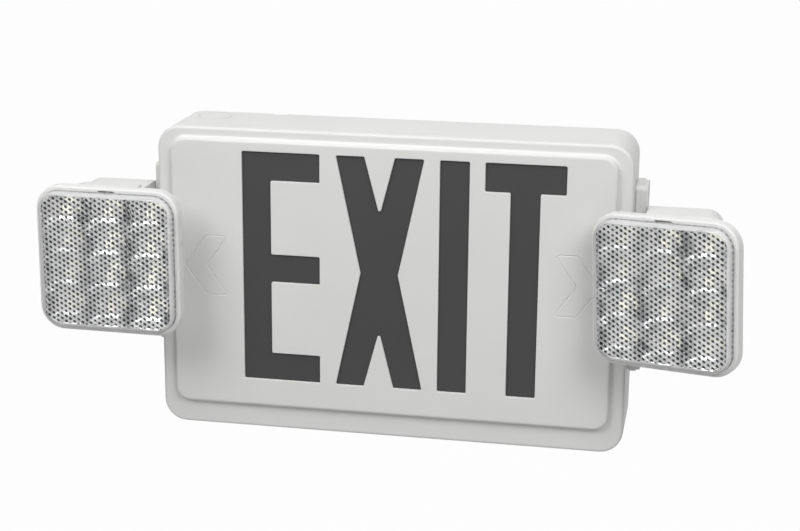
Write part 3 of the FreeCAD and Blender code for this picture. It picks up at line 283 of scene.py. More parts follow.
@dataclass(frozen=True)
class MetallisedFinish:
    """Vacuum-metallised plastic: mirror-bright on the open slopes, with a painted dark reflection down the
    walls that face left and right.
    """

    name: str = "vacuum_metallised_cups"
    bright: str = "#F8F9F9"
    # The grey of the painted dark reflection on the side walls.
    painted_dark_reflection: str = "#86888B"
    bright_below: float = 0.15
    painted_dark_reflection_above: float = 0.85
    roughness: float = 0.17
    ripple_mm: float = 4.0
    relief_mm: float = 0.06

    def material(self) -> bpy.types.Material:
        """Make the material, with a painted dark reflection on the side walls, from a mark that the mesh
        keeps.

        Returns:
            The material.
        """
        made, tree, shader = new_material(self.name)
        # The mark says how much painted dark reflection each point takes, on the walls that face left and
        # right.
        dark_reflection_share = add_node(tree, "ShaderNodeAttribute", attribute_name="painted_dark_reflection").outputs["Fac"]
        ramp = add_node(tree, "ShaderNodeValToRGB", {"Fac": dark_reflection_share})
        bright, painted_dark_reflection = ramp.color_ramp.elements
        bright.position, bright.color = self.bright_below, linear(self.bright)
        painted_dark_reflection.position, painted_dark_reflection.color = self.painted_dark_reflection_above, linear(self.painted_dark_reflection)
        tree.links.new(ramp.outputs["Color"], shader.inputs["Base Color"])
        place = add_node(tree, "ShaderNodeTexCoord").outputs["Object"]
        orange_peel = add_node(tree, "ShaderNodeTexNoise", {"Vector": place, "Detail": 2.0,
                                                            "Scale": 1 / (self.ripple_mm * MM)})
        relief = add_node(tree, "ShaderNodeBump", {"Height": orange_peel.outputs["Fac"], "Strength": 1.0,
                                                   "Distance": self.relief_mm * MM})
        tree.links.new(relief.outputs["Normal"], shader.inputs["Normal"])
        shader.inputs["Metallic"].default_value = 1.0
        shader.inputs["Roughness"].default_value = self.roughness
        return made


# ---------------------------------------------------------------- curves and surfaces as arrays

def round_corners(corners: np.ndarray, radii: np.ndarray, steps: int = 6, closed: bool = True) -> np.ndarray:
    """Round the corners of an outline.

    Formula: the arc at a corner P lies between the unit directions a and b to its neighbours. With h half the
    angle between them, its centre is P + (a + b) / |a + b| * r / sin h, and its ends are r / tan h from P.

    Args:
        corners: The outline's corners, n by 2.
        radii: The radius at each corner, n.
        steps: Pieces in each arc.
        closed: Whether the last corner joins the first. If not, both ends stay as they are.

    Returns:
        The rounded outline, m by 2.
    """
    before = np.roll(corners, 1, axis=0) - corners
    after = np.roll(corners, -1, axis=0) - corners
    before /= np.linalg.norm(before, axis=1, keepdims=True)
    after /= np.linalg.norm(after, axis=1, keepdims=True)
    middle = before + after
    middle /= np.linalg.norm(middle, axis=1, keepdims=True)
    half = np.arccos(np.clip((before * after).sum(1), -1, 1)) / 2
    reach = (radii / np.tan(half))[:, None]
    centre = corners + middle * (radii / np.sin(half))[:, None]
    first, last = corners + before * reach - centre, corners + after * reach - centre
    start = np.arctan2(first[:, 1], first[:, 0])
    sweep = (np.arctan2(last[:, 1], last[:, 0]) - start + math.pi) % (2 * math.pi) - math.pi
    angle = start[:, None] + sweep[:, None] * np.linspace(0, 1, steps + 1)
    arcs = centre[:, None] + radii[:, None, None] * np.stack([np.cos(angle), np.sin(angle)], -1)
    if closed:
        return arcs.reshape(-1, 2)
    return np.concatenate([corners[:1], arcs[1:-1].reshape(-1, 2), corners[-1:]])


def outward(outline: np.ndarray) -> np.ndarray:
    """The unit normals of a closed outline that runs anticlockwise, pointing away from its inside.

    Formula: the sum of the unit steps into and out of a point, turned a quarter turn clockwise. It is scaled
    by one over the cosine of half the turn, so that an offset keeps its distance from both sides.

    Args:
        outline: Points, n by 2.

    Returns:
        Normals, n by 2.
    """
    step = np.roll(outline, -1, axis=0) - outline
    step /= np.linalg.norm(step, axis=1, keepdims=True)
    into = np.roll(step, 1, axis=0)
    along = step + into
    along /= np.linalg.norm(along, axis=1, keepdims=True)
    normal = np.stack([along[:, 1], -along[:, 0]], -1)
    return normal / (along * step).sum(1, keepdims=True)


def rounded_loops(stations: np.ndarray, steps: int = 10) -> np.ndarray:
    """Rounded rectangles, one for each station, as a surface.

    Formula: in the quarter with signs (cx, cz), the point at angle p is x = cx (a - r) + r cos p and
    z = z0 + cz (b - r) + r sin p, at depth y.

    Args:
        stations: For each loop its half width a, half height b, radius r, middle z0 and depth y, m by 5.
        steps: Pieces in each corner.

    Returns:
        Points, m by 4 (steps + 1) by 3, anticlockwise as seen with X to the right and Z up.
    """
    half_x, half_z, radius, middle, depth = (column[:, None, None] for column in stations.T)
    quarter = np.arange(4)[:, None]
    angle = (quarter + np.linspace(0, 1, steps + 1)) * math.pi / 2
    sign_x = np.array([1, -1, -1, 1])[:, None]
    sign_z = np.array([1, 1, -1, -1])[:, None]
    x = sign_x * (half_x - radius) + radius * np.cos(angle)
    z = middle + sign_z * (half_z - radius) + radius * np.sin(angle)
    points = np.stack([x, np.broadcast_to(depth, x.shape), z], -1)
    return points.reshape(len(stations), -1, 3)


def grid_faces(rows: int, columns: int, closed: bool = True) -> np.ndarray:
    """The four-sided faces of a grid of points.

    Args:
        rows: Points along the first way.
        columns: Points along the second way.
        closed: Whether the second way runs round and meets itself.

    Returns:
        Point numbers, n by 4.
    """
    i, j = np.meshgrid(np.arange(rows - 1), np.arange(columns if closed else columns - 1), indexing="ij")
    k = (j + 1) % columns
    near, far = i * columns, (i + 1) * columns
    return np.stack([near + j, far + j, far + k, near + k], -1).reshape(-1, 4)


def lattice(across: np.ndarray, up: np.ndarray, column: float,
            pitch: float) -> tuple[np.ndarray, np.ndarray]:
    """Where each point lies in its cell of a staggered lattice.

    Formula: cell middles lie at (c * column, (r + half of c's odd part) * pitch). Of the nearest middle in
    the column to the left and the one to the right, the closer counts.

    Args:
        across: First coordinate.
        up: Second coordinate.
        column: Column spacing.
        pitch: Spacing within a column.

    Returns:
        The offsets across and up from the nearest cell middle.
    """
    choices = []
    for side in (np.floor, np.ceil):
        number = side(across / column)
        shift = (number % 2) * pitch / 2
        row = np.round((up - shift) / pitch)
        choices.append((across - number * column, up - shift - row * pitch))
    nearer = np.hypot(*choices[0]) <= np.hypot(*choices[1])
    return (np.where(nearer, choices[0][0], choices[1][0]), np.where(nearer, choices[0][1], choices[1][1]))


@dataclass
class RoundedPatch:
    """A square patch with round corners, as an even grid, and the loop round its edge.

    Formula: a grid point stays where it is, but in a corner square of side r, with a and b its shares of the
    square, it moves to r a sqrt(1 - b^2 / 2), r b sqrt(1 - a^2 / 2) from the corner arc's centre.
    """

    half: float
    radius: float
    cells: int

    def grid(self) -> tuple[np.ndarray, np.ndarray]:
        """The x and z of the grid's points, each a square array."""
        line = np.linspace(-self.half, self.half, self.cells + 1)
        z, x = np.meshgrid(line, line, indexing="ij")
        inner = self.half - self.radius
        share_x, share_z = (np.clip((np.abs(c) - inner) / self.radius, 0, 1) for c in (x, z))
        corner = (share_x > 0) & (share_z > 0)
        bent_x = np.sign(x) * (inner + self.radius * share_x * np.sqrt(1 - share_z ** 2 / 2))
        bent_z = np.sign(z) * (inner + self.radius * share_z * np.sqrt(1 - share_x ** 2 / 2))
        return np.where(corner, bent_x, x), np.where(corner, bent_z, z)

    def edge(self) -> np.ndarray:
        """The numbers of the grid's points round its edge, anticlockwise."""
        n = self.cells
        number = np.arange((n + 1) ** 2).reshape(n + 1, n + 1)
        return np.concatenate([number[0, :-1], number[:-1, n], number[n, :0:-1], number[:0:-1, 0]])

    def normals(self, loop: np.ndarray) -> np.ndarray:
        """The unit normals at the edge loop: each point less its nearest point of the inner square.

        Args:
            loop: The edge's points, n by 2.

        Returns:
            Normals, n by 2.
        """
        inner = self.half - self.radius
        away = loop - np.clip(loop, -inner, inner)
        return away / np.linalg.norm(away, axis=1, keepdims=True)


@dataclass
class Piece:
    """Points and faces gathered into one mesh, with a number kept at each point where a finish needs one."""

    name: str
    points: list[np.ndarray] = field(default_factory=list)
    faces: list[list[int]] = field(default_factory=list)
    marks: list[np.ndarray] = field(default_factory=list)
    count: int = 0

    def add(self, points: np.ndarray, faces: np.ndarray | list, marks: np.ndarray | None = None) -> None:
        """Add a surface.

        Args:
            points: Its points in millimetres, any shape ending in 3.
            faces: Its faces, as numbers into those points.
            marks: A number for each point, or None for 0.
        """
        flat = points.reshape(-1, 3)
        self.points.append(flat)
        self.marks.append(np.zeros(len(flat)) if marks is None else marks.reshape(-1))
        self.faces += [[self.count + int(n) for n in face] for face in faces]
        self.count += len(flat)

    def build(self, material: bpy.types.Material, body: str, slot: str, replaced: tuple[str, ...] = (),
              pose: np.ndarray | None = None, mark: str = "", crease: float = 22.0) -> bpy.types.Object:
        """Make the object: doubles merged, faces outwards, smooth but for creases.

        Args:
            material: Its material.
            body: The body that it moves with.
            slot: The record's material slot; not used.
            replaced: The solids that it stands for.
            pose: A 4 by 4 place in millimetres, or None.
            mark: The name of the mesh attribute that keeps the marks, or "".
            crease: Edges sharper than this, in degrees, stay sharp.

        Returns:
            The object.
        """
        points = np.concatenate(self.points)
        if pose is not None:
            points = points @ pose[:3, :3].T + pose[:3, 3]
        mesh = bpy.data.meshes.new(self.name)
        mesh.from_pydata((points * MM).tolist(), [], self.faces)
        if mark:
            kept = mesh.attributes.new(mark, "FLOAT", "POINT")
            kept.data.foreach_set("value", np.concatenate(self.marks).astype(np.float32))
        work = bmesh.new()
        work.from_mesh(mesh)
        bmesh.ops.remove_doubles(work, verts=work.verts, dist=SAME_PLACE)
        bmesh.ops.recalc_face_normals(work, faces=work.faces)
        work.to_mesh(mesh)
        open_edges = sum(not edge.is_manifold for edge in work.edges)
        work.free()
        mesh.polygons.foreach_set("use_smooth", np.ones(len(mesh.polygons), bool))
        mesh.set_sharp_from_angle(angle=math.radians(crease))
        mesh.materials.append(material)
        made = bpy.data.objects.new(self.name, mesh)
        bpy.context.scene.collection.objects.link(made)
        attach(made, body)
        if replaced:
            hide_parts(*replaced)
        LOG.info("%s: %d faces, %d open edges", self.name, len(mesh.polygons), open_edges)
        return made


# ---------------------------------------------------------------- the front cover and its legend

@dataclass
class Legend:
    """The outlines cut into the panel: the word, and an arrow to be knocked out at each side."""

    middle_x: float = 8.1
    middle_z: float = 10.5
    half_height: float = 76.2
    stroke: float = 18.66
    corner: float = 1.0
    arrow_middle: float = 10.1
    arrow_half: float = 19.9
    arrow_tip: float = 134.9
    arrow_end: float = 105.9
    arrow_stroke: float = 14.5
    arrow_corner: float = 1.6

    def outline(self, corners: list[tuple[float, float]], radius: float) -> np.ndarray:
        """A rounded outline that runs anticlockwise.

        Formula: the shoelace sum over the corners is positive when they run anticlockwise. If not, their
        order is turned round.

        Args:
            corners: Its corners, in order either way.
            radius: The radius at each corner.

        Returns:
            Points, n by 2.
        """
        points = np.array(corners, float)
        shifted = np.roll(points, -1, axis=0)
        area = (points[:, 0] * shifted[:, 1] - shifted[:, 0] * points[:, 1]).sum()
        points = points if area > 0 else points[::-1]
        return round_corners(points, np.full(len(points), radius))

    def letters(self) -> list[np.ndarray]:
        """The outlines of the four letters, in the part's frame."""
        top, bar = self.half_height, self.half_height - self.stroke
        letter_e = [(-103.85, -top), (-52.96, -top), (-52.96, -bar), (-84.99, -bar), (-84.99, -9.43),
                    (-52.96, -9.43), (-52.96, 9.08), (-84.99, 9.08), (-84.99, bar), (-52.96, bar),
                    (-52.96, top), (-103.85, top)]
        letter_x = [(-42.5, -top), (-24, -top), (-14, -38.4), (-4.4, -top), (14.4, -top), (-1.9, 0),
                    (14.4, top), (-4.4, top), (-14, 38.4), (-24, top), (-42.5, top), (-26.3, 0)]
        letter_i = [(24.32, -top), (43.18, -top), (43.18, top), (24.32, top)]
        letter_t = [(68.99, -top), (87.84, -top), (87.84, bar), (103.85, bar), (103.85, top), (52.94, top),
                    (52.94, bar), (68.99, bar)]
        shift = np.array([self.middle_x, self.middle_z])
        word = (letter_e, letter_x, letter_i, letter_t)
        return [self.outline(letter, self.corner) + shift for letter in word]

    def arrows(self) -> list[np.ndarray]:
        """The outlines of the two arrows: each a bent stroke that points away from the word."""
        inner = self.arrow_tip - self.arrow_stroke
        outlines = []
        for side in (-1, 1):
            corners = [(self.arrow_end, self.arrow_half), (inner, self.arrow_half), (self.arrow_tip, 0),
                       (inner, -self.arrow_half), (self.arrow_end, -self.arrow_half), (inner, 0)]
            shifted = [(side * x, self.arrow_middle + z) for x, z in corners]
            outlines.append(self.outline(shifted, self.arrow_corner))
        return outlines


@dataclass
class FrontCover:
    """The moulded cover: rim, skirt and raised panel, with the word cut through and the arrows scored."""

    wall: float = 1.6
    case_corner: float = 15.0
    least_corner: float = 1.0
    rim_round: float = 2.0
    rim_flat: float = 0.2
    back_round: float = 0.45
    panel_sides: float = 11.3
    panel_top: float = 8.7
    panel_low: float = 18.2
    panel_corner: float = 8.0
    raise_: float = 4.0
    panel_edge: float = 1.8
    panel_foot: float = 1.7
    foot_flat: float = 0.6
    flat_inset: float = 1.0
    inner_flat: float = 4.5
    cut_round: float = 0.35
    level_ring: float = 0.5
    score_half: float = 0.55
    score_depth: float = 0.5

    def __post_init__(self) -> None:
        """Take the cover's place from its solid."""
        low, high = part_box("front_cover")
        self.half_width, self.half_height = high.x / MM, high.z / MM
        self.front, self.back = low.y / MM, high.y / MM
        self.rim = self.front + self.raise_
        self.panel_x = self.half_width - self.panel_sides
        self.panel_z = self.half_height - (self.panel_top + self.panel_low) / 2
        self.panel_middle = (self.panel_low - self.panel_top) / 2

    def case_family(self, profile: np.ndarray) -> np.ndarray:
        """Stations that follow the case's outline.

        Args:
            profile: For each its inset from the outline and its depth, n by 2.

        Returns:
            Stations, n by 5.
        """
        inset, depth = profile.T
        corner = np.maximum(self.case_corner - inset, self.least_corner)
        return np.stack([self.half_width - inset, self.half_height - inset, corner, inset * 0, depth], -1)

    def panel_family(self, profile: np.ndarray) -> np.ndarray:
        """Stations that follow the panel's outline.

        Args:
            profile: For each how far it lies outside the panel's flat and its depth, n by 2.

        Returns:
            Stations, n by 5.
        """
        outset, depth = profile.T
        return np.stack([self.panel_x + outset, self.panel_z + outset, self.panel_corner + outset,
                         outset * 0 + self.panel_middle, depth], -1)

    def shell(self) -> np.ndarray:
        """The cover's surface from the edge of the flat out, round the rim and skirt, and back inside."""
        front, rim, back, wall, step = self.front, self.rim, self.back, self.wall, self.panel_edge
        panel_end = step + self.panel_foot + self.foot_flat
        rim_start = self.rim_round + self.rim_flat
        inset = -self.flat_inset
        outer_panel = round_corners(np.array([(inset, front), (step, front), (step, rim), (panel_end, rim)]),
                                    np.array([0, self.panel_edge, self.panel_foot, 0]), 8, False)
        outer_case = round_corners(np.array([(rim_start, rim), (0, rim), (0, back), (wall, back)]),
                                   np.array([0, self.rim_round, self.back_round, 0]), 6, False)
        inner_case = np.array([(wall, back), (wall, rim + wall), (self.inner_flat, rim + wall)])
        inner_panel = np.array([(inset, rim + wall), (inset, front + wall)])
        return rounded_loops(np.concatenate([self.panel_family(outer_panel), self.case_family(outer_case),
                                             self.case_family(inner_case), self.panel_family(inner_panel)]))

    @staticmethod
    def carried(outline: np.ndarray, profile: np.ndarray) -> np.ndarray:
        """A profile carried along an outline.

        Formula: point + normal * offset, at the profile's depth.

        Args:
            outline: Points, n by 2.
            profile: Offsets and depths, m by 2.

        Returns:
            Points, m by n by 3.
        """
        offset, depth = profile.T
        flat = outline + outward(outline) * offset[:, None, None]
        return np.stack([flat[..., 0], np.broadcast_to(depth[:, None], flat.shape[:2]), flat[..., 1]], -1)

    @staticmethod
    def fill(piece: Piece, loops: list[np.ndarray]) -> None:
        """Fill the flat between an outer loop and the loops inside it with triangles.

        Args:
            piece: The piece that they are added to.
            loops: The outer loop first, each n by 3.
        """
        flat = [[Vector((p[0], p[2], 0)) for p in loop] for loop in loops]
        piece.add(np.concatenate(loops), tessellate_polygon(flat))

    def build(self, legend: Legend, material: bpy.types.Material) -> bpy.types.Object:
        """Build the cover in one closed mesh.

        Args:
            legend: The outlines that are cut into it.
            material: Its material.

        Returns:
            The object that stands for the cover's solid.
        """
        piece = Piece("cover_with_legend")
        shell = self.shell()
        piece.add(shell, grid_faces(*shell.shape[:2]))
        front_loops, back_loops = [shell[0]], [shell[-1]]
        turn = np.linspace(0, math.pi / 2, 5)
        edge = np.stack([1 - np.sin(turn), 1 - np.cos(turn)], -1) * self.cut_round + (0, self.front)
        # A level ring beside each cut keeps its rounding out of the flat's shading.
        level = np.array([(self.cut_round + self.level_ring, self.front)])
        through = np.concatenate([level, edge, [(0, self.front + self.wall)]])
        for outline in legend.letters():
            wall = self.carried(outline, through)
            piece.add(wall, grid_faces(*wall.shape[:2]))
            front_loops.append(wall[0])
            back_loops.append(wall[-1])
        across = np.linspace(1, -1, 9)
        score = np.stack([across * self.score_half,
                          self.front + self.score_depth * (1 + np.cos(math.pi * across)) / 2], -1)
        beside = np.array([(self.score_half + self.level_ring, self.front)])
        score = np.concatenate([beside, score, beside * (-1, 1)])
        for outline in legend.arrows():
            groove = self.carried(outline, score)
            piece.add(groove, grid_faces(*groove.shape[:2]))
            front_loops.append(groove[0])
            self.fill(piece, [groove[-1]])
        self.fill(piece, front_loops)
        self.fill(piece, back_loops)
        return piece.build(material, "case", "white_plastic", ("front_cover",))


# ---------------------------------------------------------------- the lamp heads

@dataclass
class LampHead:
    """One lamp head's lens, reflector and LEDs, in its own frame about the ball's centre, Y to the back."""

    side: str
    pan: float
    cant: float
    lens_half: float = 44.5
    lens_corner: float = 13.0
    lens_edge: float = 2.0
    lens_wall: float = 1.8
    lens_front: float = -4.0
    flange: float = 1.0
    flange_front: float = 5.5
    flange_back: float = 7.0
    cells: int = 176
    dimple_column: float = 2.8
    dimple_pitch: float = 3.35
    dimple_depth: float = 0.45
    dimple_spread: float = 1.12
    # The lean, stretch and fading of the painted shade on the dimples' floors.
    painted_shade_lean: tuple[float, float] = (0.8, 0.6)
    painted_shade_stretch: tuple[float, float] = (0.7, 1.05)
    painted_shade_fade: float = 0.16
    frosted_width: float = 0.8
    side_row: tuple[float, float] = (-1.6, 1.2)
    side_rings: int = 7
    side_middle: float = -0.3
    side_depth: float = 0.3
    cup_x: float = 28.0
    cup_z: float = 21.0
    cup_floor: float = 0.3
    # Where the painted dark reflection starts out on the walls, and how far it takes to grow full.
    dark_reflection_start: float = 0.45
    dark_reflection_reach: float = 0.5
    tray_half: float = 42.5
    tray_corner: float = 11.0
    tray_cells: int = 126
    tray_front: float = -2.0
    tray_gap: float = 0.1
    board_front: float = 5.6
    dome_radius: float = 2.1
    dome_seat: float = 1.2
    dome_rise: float = 0.8

    def pose(self) -> np.ndarray:
        """The head's place at rest: a pan about Z and a cant about its own Y, about the ball's centre."""
        joint = next(j for j in frame["joints"] if j["name"] == self.side + "_head_pan")
        pan, cant = math.radians(self.pan), math.radians(self.cant)
        place = np.array(Matrix.Rotation(pan, 4, "Z") @ Matrix.Rotation(cant, 4, "Y"))
        place[:3, 3] = np.array(joint["pos_m"]) / MM
        return place

    def dimples(self, across: np.ndarray, up: np.ndarray) -> tuple[np.ndarray, np.ndarray]:
        """The depth of the dimples and the painted shade on their floors.

        Formula: with d the distance from the nearest lattice middle and R half the column spacing times the
        spread, the depth is (1 + cos(pi d / R)) / 2 of the full one inside R. The painted shade of the floor
        is the same of a distance that is drawn out along the lean, made fainter in two crossing waves.

        Args:
            across: First coordinate.
            up: Second coordinate.

        Returns:
            Depth and painted shade, both from 0 to 1.
        """
        reach = self.dimple_column / 2 * self.dimple_spread
        lean_x, lean_z = self.painted_shade_lean
        stretch_along, stretch_beside = self.painted_shade_stretch
        off_x, off_z = lattice(across, up, self.dimple_column, self.dimple_pitch)
        depth = (1 + np.cos(math.pi * np.clip(np.hypot(off_x, off_z) / reach, 0, 1))) / 2
        along, beside = off_x * lean_x - off_z * lean_z, off_x * lean_z + off_z * lean_x
        drawn = np.clip(np.hypot(along * stretch_along, beside * stretch_beside) / reach, 0, 1)
        # Two crossing waves, 16 and 14 mm long, that don't repeat with the dimples, make the painted shade
        # fainter in places.
        waves = np.sin(0.31 * across + 0.23 * up) * np.sin(0.17 * across - 0.41 * up)
        return depth, (1 + np.cos(math.pi * drawn)) / 2 * (1 - self.painted_shade_fade * (1 + waves))

    def lens(self, material: bpy.types.Material) -> bpy.types.Object:
        """Build the lens: a dimpled front, a round edge, one row of dimples on the side and a plain rim.

        The number kept at each point is the painted shade on the dimples' floors, from 0 to 1, and -1 where
        the lens is frosted.

        Args:
            material: Its material.

        Returns:
            The object that stands for the lens's solid.
        """
        piece = Piece(self.side + "_dimpled_lens")
        edge_round = self.lens_edge
        patch = RoundedPatch(self.lens_half - edge_round, self.lens_corner - edge_round, self.cells)
        x, z = patch.grid()
        to_edge = np.minimum(patch.half - np.abs(x), patch.half - np.abs(z))
        fade = np.clip(to_edge / self.frosted_width, 0, 1)
        # floor is the painted shade on the dimples' floors.
        depth, floor = self.dimples(x, z)
        y = self.lens_front + self.dimple_depth * depth * fade
        front = np.stack([x, y, z], -1)
        piece.add(front, grid_faces(*x.shape, closed=False), floor * fade - (1 - fade))

        loop = np.stack([x.reshape(-1), z.reshape(-1)], -1)[patch.edge()]
        normal = patch.normals(loop)
        length = np.concatenate([[0], np.cumsum(np.linalg.norm(np.diff(loop, axis=0), axis=1))])
        turn = np.linspace(0, math.pi / 2, 6)
        edge = np.stack([edge_round * np.sin(turn), self.lens_front + edge_round * (1 - np.cos(turn))], -1)
        side_levels = np.linspace(*self.side_row, self.side_rings)
        side = np.stack([np.full(self.side_rings, edge_round), side_levels], -1)
        inner, outer = edge_round - self.lens_wall, edge_round + self.flange
        rest = np.array([(edge_round, self.flange_front), (outer, self.flange_front),
                         (outer, self.flange_back), (inner, self.flange_back),
                         (inner, self.lens_front + self.lens_wall)])
        offset, level = np.concatenate([edge, side, rest]).T[..., None]
        ring = (len(level), len(loop))
        # The side's row of dimples takes the same painted shade on their floors.
        pressed, painted_shade = self.dimples(np.broadcast_to(level - self.side_middle, ring),
                                     np.broadcast_to(length, ring))
        on_side = np.zeros((len(level), 1), bool)
        on_side[len(edge):len(edge) + self.side_rings - 1] = True
        sunk = offset - self.side_depth * pressed * on_side
        flat = loop + normal * sunk[..., None]
        band = np.stack([flat[..., 0], np.broadcast_to(level, ring), flat[..., 1]], -1)
        piece.add(band, grid_faces(*band.shape[:2]), 2 * painted_shade * on_side - 1)
        piece.add(band[-1], [list(range(len(loop)))])
        return piece.build(material, self.side + "_head", "clear_lens", (self.side + "_lamp_lens",),
                           self.pose(), "dimple_painted_shade", 40)

    def reflector(self, material: bpy.types.Material) -> bpy.types.Object:
        """Build the tray of cups.

        Formula: in a cup's cell, u and v run from -1 to 1 and q is (u^4 + v^4) ^ (1/4). With f the share of
        its floor, the depth is full where q is under f and falls to nothing at the ridge, as
        1 - ((q - f) / (1 - f))^2. The painted dark reflection on a wall is q's own u^4 share times how far
        out it lies, so it falls on the walls that face left and right.

        Args:
            material: Its material.

        Returns:
            The object that stands for the reflector's solid.
        """
        piece = Piece(self.side + "_cup_tray")
        patch = RoundedPatch(self.tray_half, self.tray_corner, self.tray_cells)
        x, z = patch.grid()
        u = ((x / self.cup_x + 0.5) % 1) * 2 - 1
        v = (((z + self.cup_z / 2) / self.cup_z + 0.5) % 1) * 2 - 1
        inside = (np.abs(x) < self.cup_x * 1.5) & (np.abs(z) < self.cup_z * 2)
        q = (u ** 4 + v ** 4) ** 0.25
        rise = np.clip((q - self.cup_floor) / (1 - self.cup_floor), 0, 1)
        hollow = np.where(inside, 1 - rise ** 2, 0)
        y = self.tray_front + (self.board_front - self.tray_gap - self.tray_front) * hollow
        # A painted dark reflection down the walls that face left and right, growing towards the ridge.
        far_out = np.clip((q - self.dark_reflection_start) / self.dark_reflection_reach, 0, 1)
        painted_dark_reflection = far_out * u ** 4 / np.maximum(u ** 4 + v ** 4, 1e-9)
        piece.add(np.stack([x, y, z], -1), grid_faces(*x.shape, closed=False), painted_dark_reflection)
        loop = np.stack([x, y, z], -1).reshape(-1, 3)[patch.edge()]
        level = np.array([0, 1])[:, None]
        back = np.stack([loop[:, 0], np.full(len(loop), self.board_front), loop[:, 2]], -1)
        wall = loop + (back - loop) * level[..., None]
        piece.add(wall, grid_faces(2, len(loop)))
        piece.add(back, [list(range(len(loop)))])
        return piece.build(material, self.side + "_head", "metallised", (self.side + "_lamp_reflector",),
                           self.pose(), "painted_dark_reflection", 50)

    def domes(self, material: bpy.types.Material) -> bpy.types.Object:
        """Build the clear domes on the LEDs.

        Formula: x = r sin t cos p and z = r sin t sin p, and y lies in front of the seat by a flattened
        r cos t.

        Args:
            material: Its material.

        Returns:
            The object.
        """
        piece = Piece(self.side + "_led_domes")
        columns, rows = np.meshgrid((-1, 0, 1), (-1.5, -0.5, 0.5, 1.5))
        tilt = np.linspace(0.05, math.pi / 2, 7)[:, None]
        turn = np.linspace(0, 2 * math.pi, 24, endpoint=False)
        radius, seat = self.dome_radius, self.board_front - self.dome_seat
        y = np.broadcast_to(seat - self.dome_rise * radius * np.cos(tilt), (len(tilt), len(turn)))
        dome = np.stack([radius * np.sin(tilt) * np.cos(turn), y, radius * np.sin(tilt) * np.sin(turn)], -1)
        for x, z in zip(columns.ravel() * self.cup_x, rows.ravel() * self.cup_z):
            placed = dome + np.array([x, 0, z])
            piece.add(placed, grid_faces(*y.shape))
            for end in (placed[0], placed[-1]):
                piece.add(end, [list(range(len(turn)))])
        return piece.build(material, self.side + "_head", "led_white", (), self.pose(), "", 40)


# ---------------------------------------------------------------- the solids that stay

@dataclass
class Solids:
    """The solids that show as they are, each with its finish."""

    finishes: dict[str, Finish]

    def finish_of(self, node: str) -> Finish:
        """The finish of a solid.

        Args:
            node: Its name.

        Returns:
            The finish whose words the name ends in, or white ABS.
        """
        found = (finish for ending, finish in self.finishes.items() if node.endswith(ending))
        return next(found, WHITE_ABS)

    def dress(self) -> None:
        """Give each solid its material."""
        made: dict[str, bpy.types.Material] = {}
        for node, solid in frame["nodes"].items():
            finish = self.finish_of(node)
            if finish.name not in made:
                made[finish.name] = finish.material()
            solid.data.materials.clear()
            solid.data.materials.append(made[finish.name])
        LOG.info("solids: %d, finishes: %d", len(frame["nodes"]), len(made))


SOLID_FINISHES = {
    "lamp_bezel": BEZEL_ABS, "legend_diffuser": SMOKED_SHEET, "light_box": LIGHT_BOX_WHITE,
    "lamp_board": WHITE_BOARD, "led_strip_upper": WHITE_BOARD, "led_strip_lower": WHITE_BOARD,
    "strip_leds_upper": LED_PHOSPHOR_PAINTED_GLOW, "strip_leds_lower": LED_PHOSPHOR_PAINTED_GLOW, "lamp_leds": LED_PHOSPHOR_PAINTED_GLOW,
    "charger_board": GREEN_BOARD,
    "board_screws": ZINC_STEEL, "_nut": ZINC_STEEL, "_washer": ZINC_STEEL, "pivot_screw": ZINC_STEEL,
    "battery_strap": ZINC_STEEL, "transformer_core": LAMINATIONS, "transformer_coil": COIL_TAPE,
    "board_capacitors": CAN_SLEEVE, "terminal_block": GREEN_NYLON, "battery_pack": CELL_WRAP,
    "test_switch": BLACK_NYLON, "test_button": RED_BUTTON, "pilot_lens": RED_ACRYLIC,
    "_spindle": TURNED_BRASS,
}


# ---------------------------------------------------------------- the studio

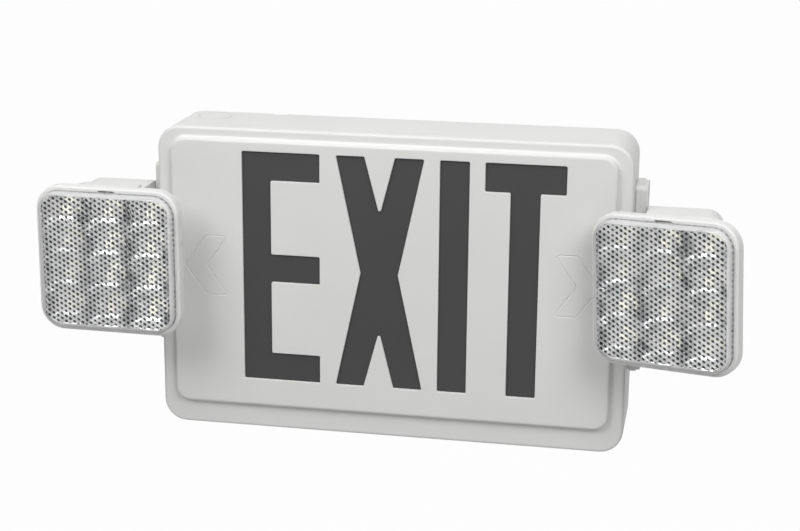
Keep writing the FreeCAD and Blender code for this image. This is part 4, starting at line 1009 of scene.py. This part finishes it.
@dataclass
class Studio:
    """A pale floor, soft lamps and the camera."""

    floor_level: float = -420.0
    floor_reach: float = 6000.0
    floor_white: float = 0.98
    world_light: float = 0.12
    lamps: tuple[tuple[str, tuple[float, float, float], float, float], ...] = (
        ("right_key", (700, -900, 900), 700, 8.6),
        ("left_key", (-600, -900, 900), 700, 7.9),
        ("overhead", (0, -300, 1300), 800, 4.6),
    )
    eye: tuple[float, float, float] = (205.918, -1105.942, 311.532)
    right: tuple[float, float, float] = (0.98207, 0.18830, 0.00890)
    up: tuple[float, float, float] = (-0.05850, 0.25951, 0.96397)
    forward: tuple[float, float, float] = (-0.17920, 0.94721, -0.26587)
    lens_mm: float = 78.316

    @staticmethod
    def seen(tree: bpy.types.NodeTree) -> bpy.types.NodeSocket:
        """Tell the rays that see from the light that falls on things.

        Args:
            tree: The node tree.

        Returns:
            One for a ray from the camera, a mirror or a lens, and nothing for any other.
        """
        path = add_node(tree, "ShaderNodeLightPath").outputs
        some = add_node(tree, "ShaderNodeMath", {0: path["Is Camera Ray"], 1: path["Is Glossy Ray"]},
                        operation="MAXIMUM")
        every = add_node(tree, "ShaderNodeMath", {0: some.outputs[0], 1: path["Is Transmission Ray"]},
                         operation="MAXIMUM")
        return every.outputs[0]

    def make_world(self) -> None:
        """White to the eye, and a plain grey light on the object."""
        world = bpy.data.worlds.new("studio")
        bpy.context.scene.world = world
        world.use_nodes = True
        tree = world.node_tree
        tree.nodes.clear()
        light = add_node(tree, "ShaderNodeBackground", {"Color": (1, 1, 1, 1), "Strength": self.world_light})
        white = add_node(tree, "ShaderNodeBackground", {"Color": (1, 1, 1, 1), "Strength": 1.0})
        mixed = add_node(tree, "ShaderNodeMixShader", {0: self.seen(tree), 1: light.outputs[0],
                                                       2: white.outputs[0]})
        add_node(tree, "ShaderNodeOutputWorld", {"Surface": mixed.outputs[0]})

    def make_floor(self) -> None:
        """A wide matt floor, white to the eye, which keeps a faint shadow."""
        mesh = bpy.data.meshes.new("floor")
        reach, level = self.floor_reach * MM, self.floor_level * MM
        corners = [(x * reach, y * reach, level) for x, y in ((-1, -1), (1, -1), (1, 1), (-1, 1))]
        mesh.from_pydata(corners, [], [(0, 1, 2, 3)])
        floor = bpy.data.objects.new("floor", mesh)
        bpy.context.scene.collection.objects.link(floor)
        material, tree, _ = new_material("pale_floor")
        tree.nodes.clear()
        matt = add_node(tree, "ShaderNodeBsdfDiffuse", {"Color": linear("#D8D8D8")})
        white = add_node(tree, "ShaderNodeEmission", {"Color": (1, 1, 1, 1), "Strength": 1.0})
        share = add_node(tree, "ShaderNodeMath", {0: self.seen(tree), 1: self.floor_white},
                         operation="MULTIPLY")
        mixed = add_node(tree, "ShaderNodeMixShader", {0: share.outputs[0], 1: matt.outputs[0],
                                                       2: white.outputs[0]})
        add_node(tree, "ShaderNodeOutputMaterial", {"Surface": mixed.outputs[0]})
        mesh.materials.append(material)

    def make_lamps(self) -> None:
        """Soft square lamps that face the case."""
        for name, place, size, watts in self.lamps:
            light = bpy.data.lights.new(name, "AREA")
            light.size = size * MM
            light.energy = watts
            lamp = bpy.data.objects.new(name, light)
            bpy.context.scene.collection.objects.link(lamp)
            lamp.location = Vector(place) * MM
            lamp.rotation_euler = (-lamp.location).to_track_quat("-Z", "Y").to_euler()

    def make_camera(self) -> None:
        """The camera: a little right of the case and above it."""
        data = bpy.data.cameras.new("camera")
        data.lens = self.lens_mm
        data.sensor_width = 36
        data.clip_end = 50
        camera = bpy.data.objects.new("camera", data)
        bpy.context.scene.collection.objects.link(camera)
        axes = Matrix((self.right, self.up, -Vector(self.forward))).transposed().to_4x4()
        camera.matrix_world = Matrix.Translation(Vector(self.eye) * MM) @ axes
        bpy.context.scene.camera = camera

    def build(self) -> None:
        """Set up the whole studio."""
        bpy.context.scene.view_settings.view_transform = "Standard"
        self.make_world()
        self.make_floor()
        self.make_lamps()
        self.make_camera()


def main() -> None:
    """Build every piece in order."""
    logging.basicConfig(level=logging.INFO, format="%(name)s: %(message)s")
    Studio().build()
    Solids(SOLID_FINISHES).dress()
    FrontCover().build(Legend(), bpy.data.materials[WHITE_ABS.name])
    clear, bright = LensFinish().material(), MetallisedFinish().material()
    for head in (LampHead("left", -1.5, 0.0), LampHead("right", -21.3, -3.2)):
        head.lens(clear)
        head.reflector(bright)
        # The domes take the phosphor's painted glow too.
        head.domes(bpy.data.materials[LED_PHOSPHOR_PAINTED_GLOW.name])


if __name__ == "__main__":
    main()
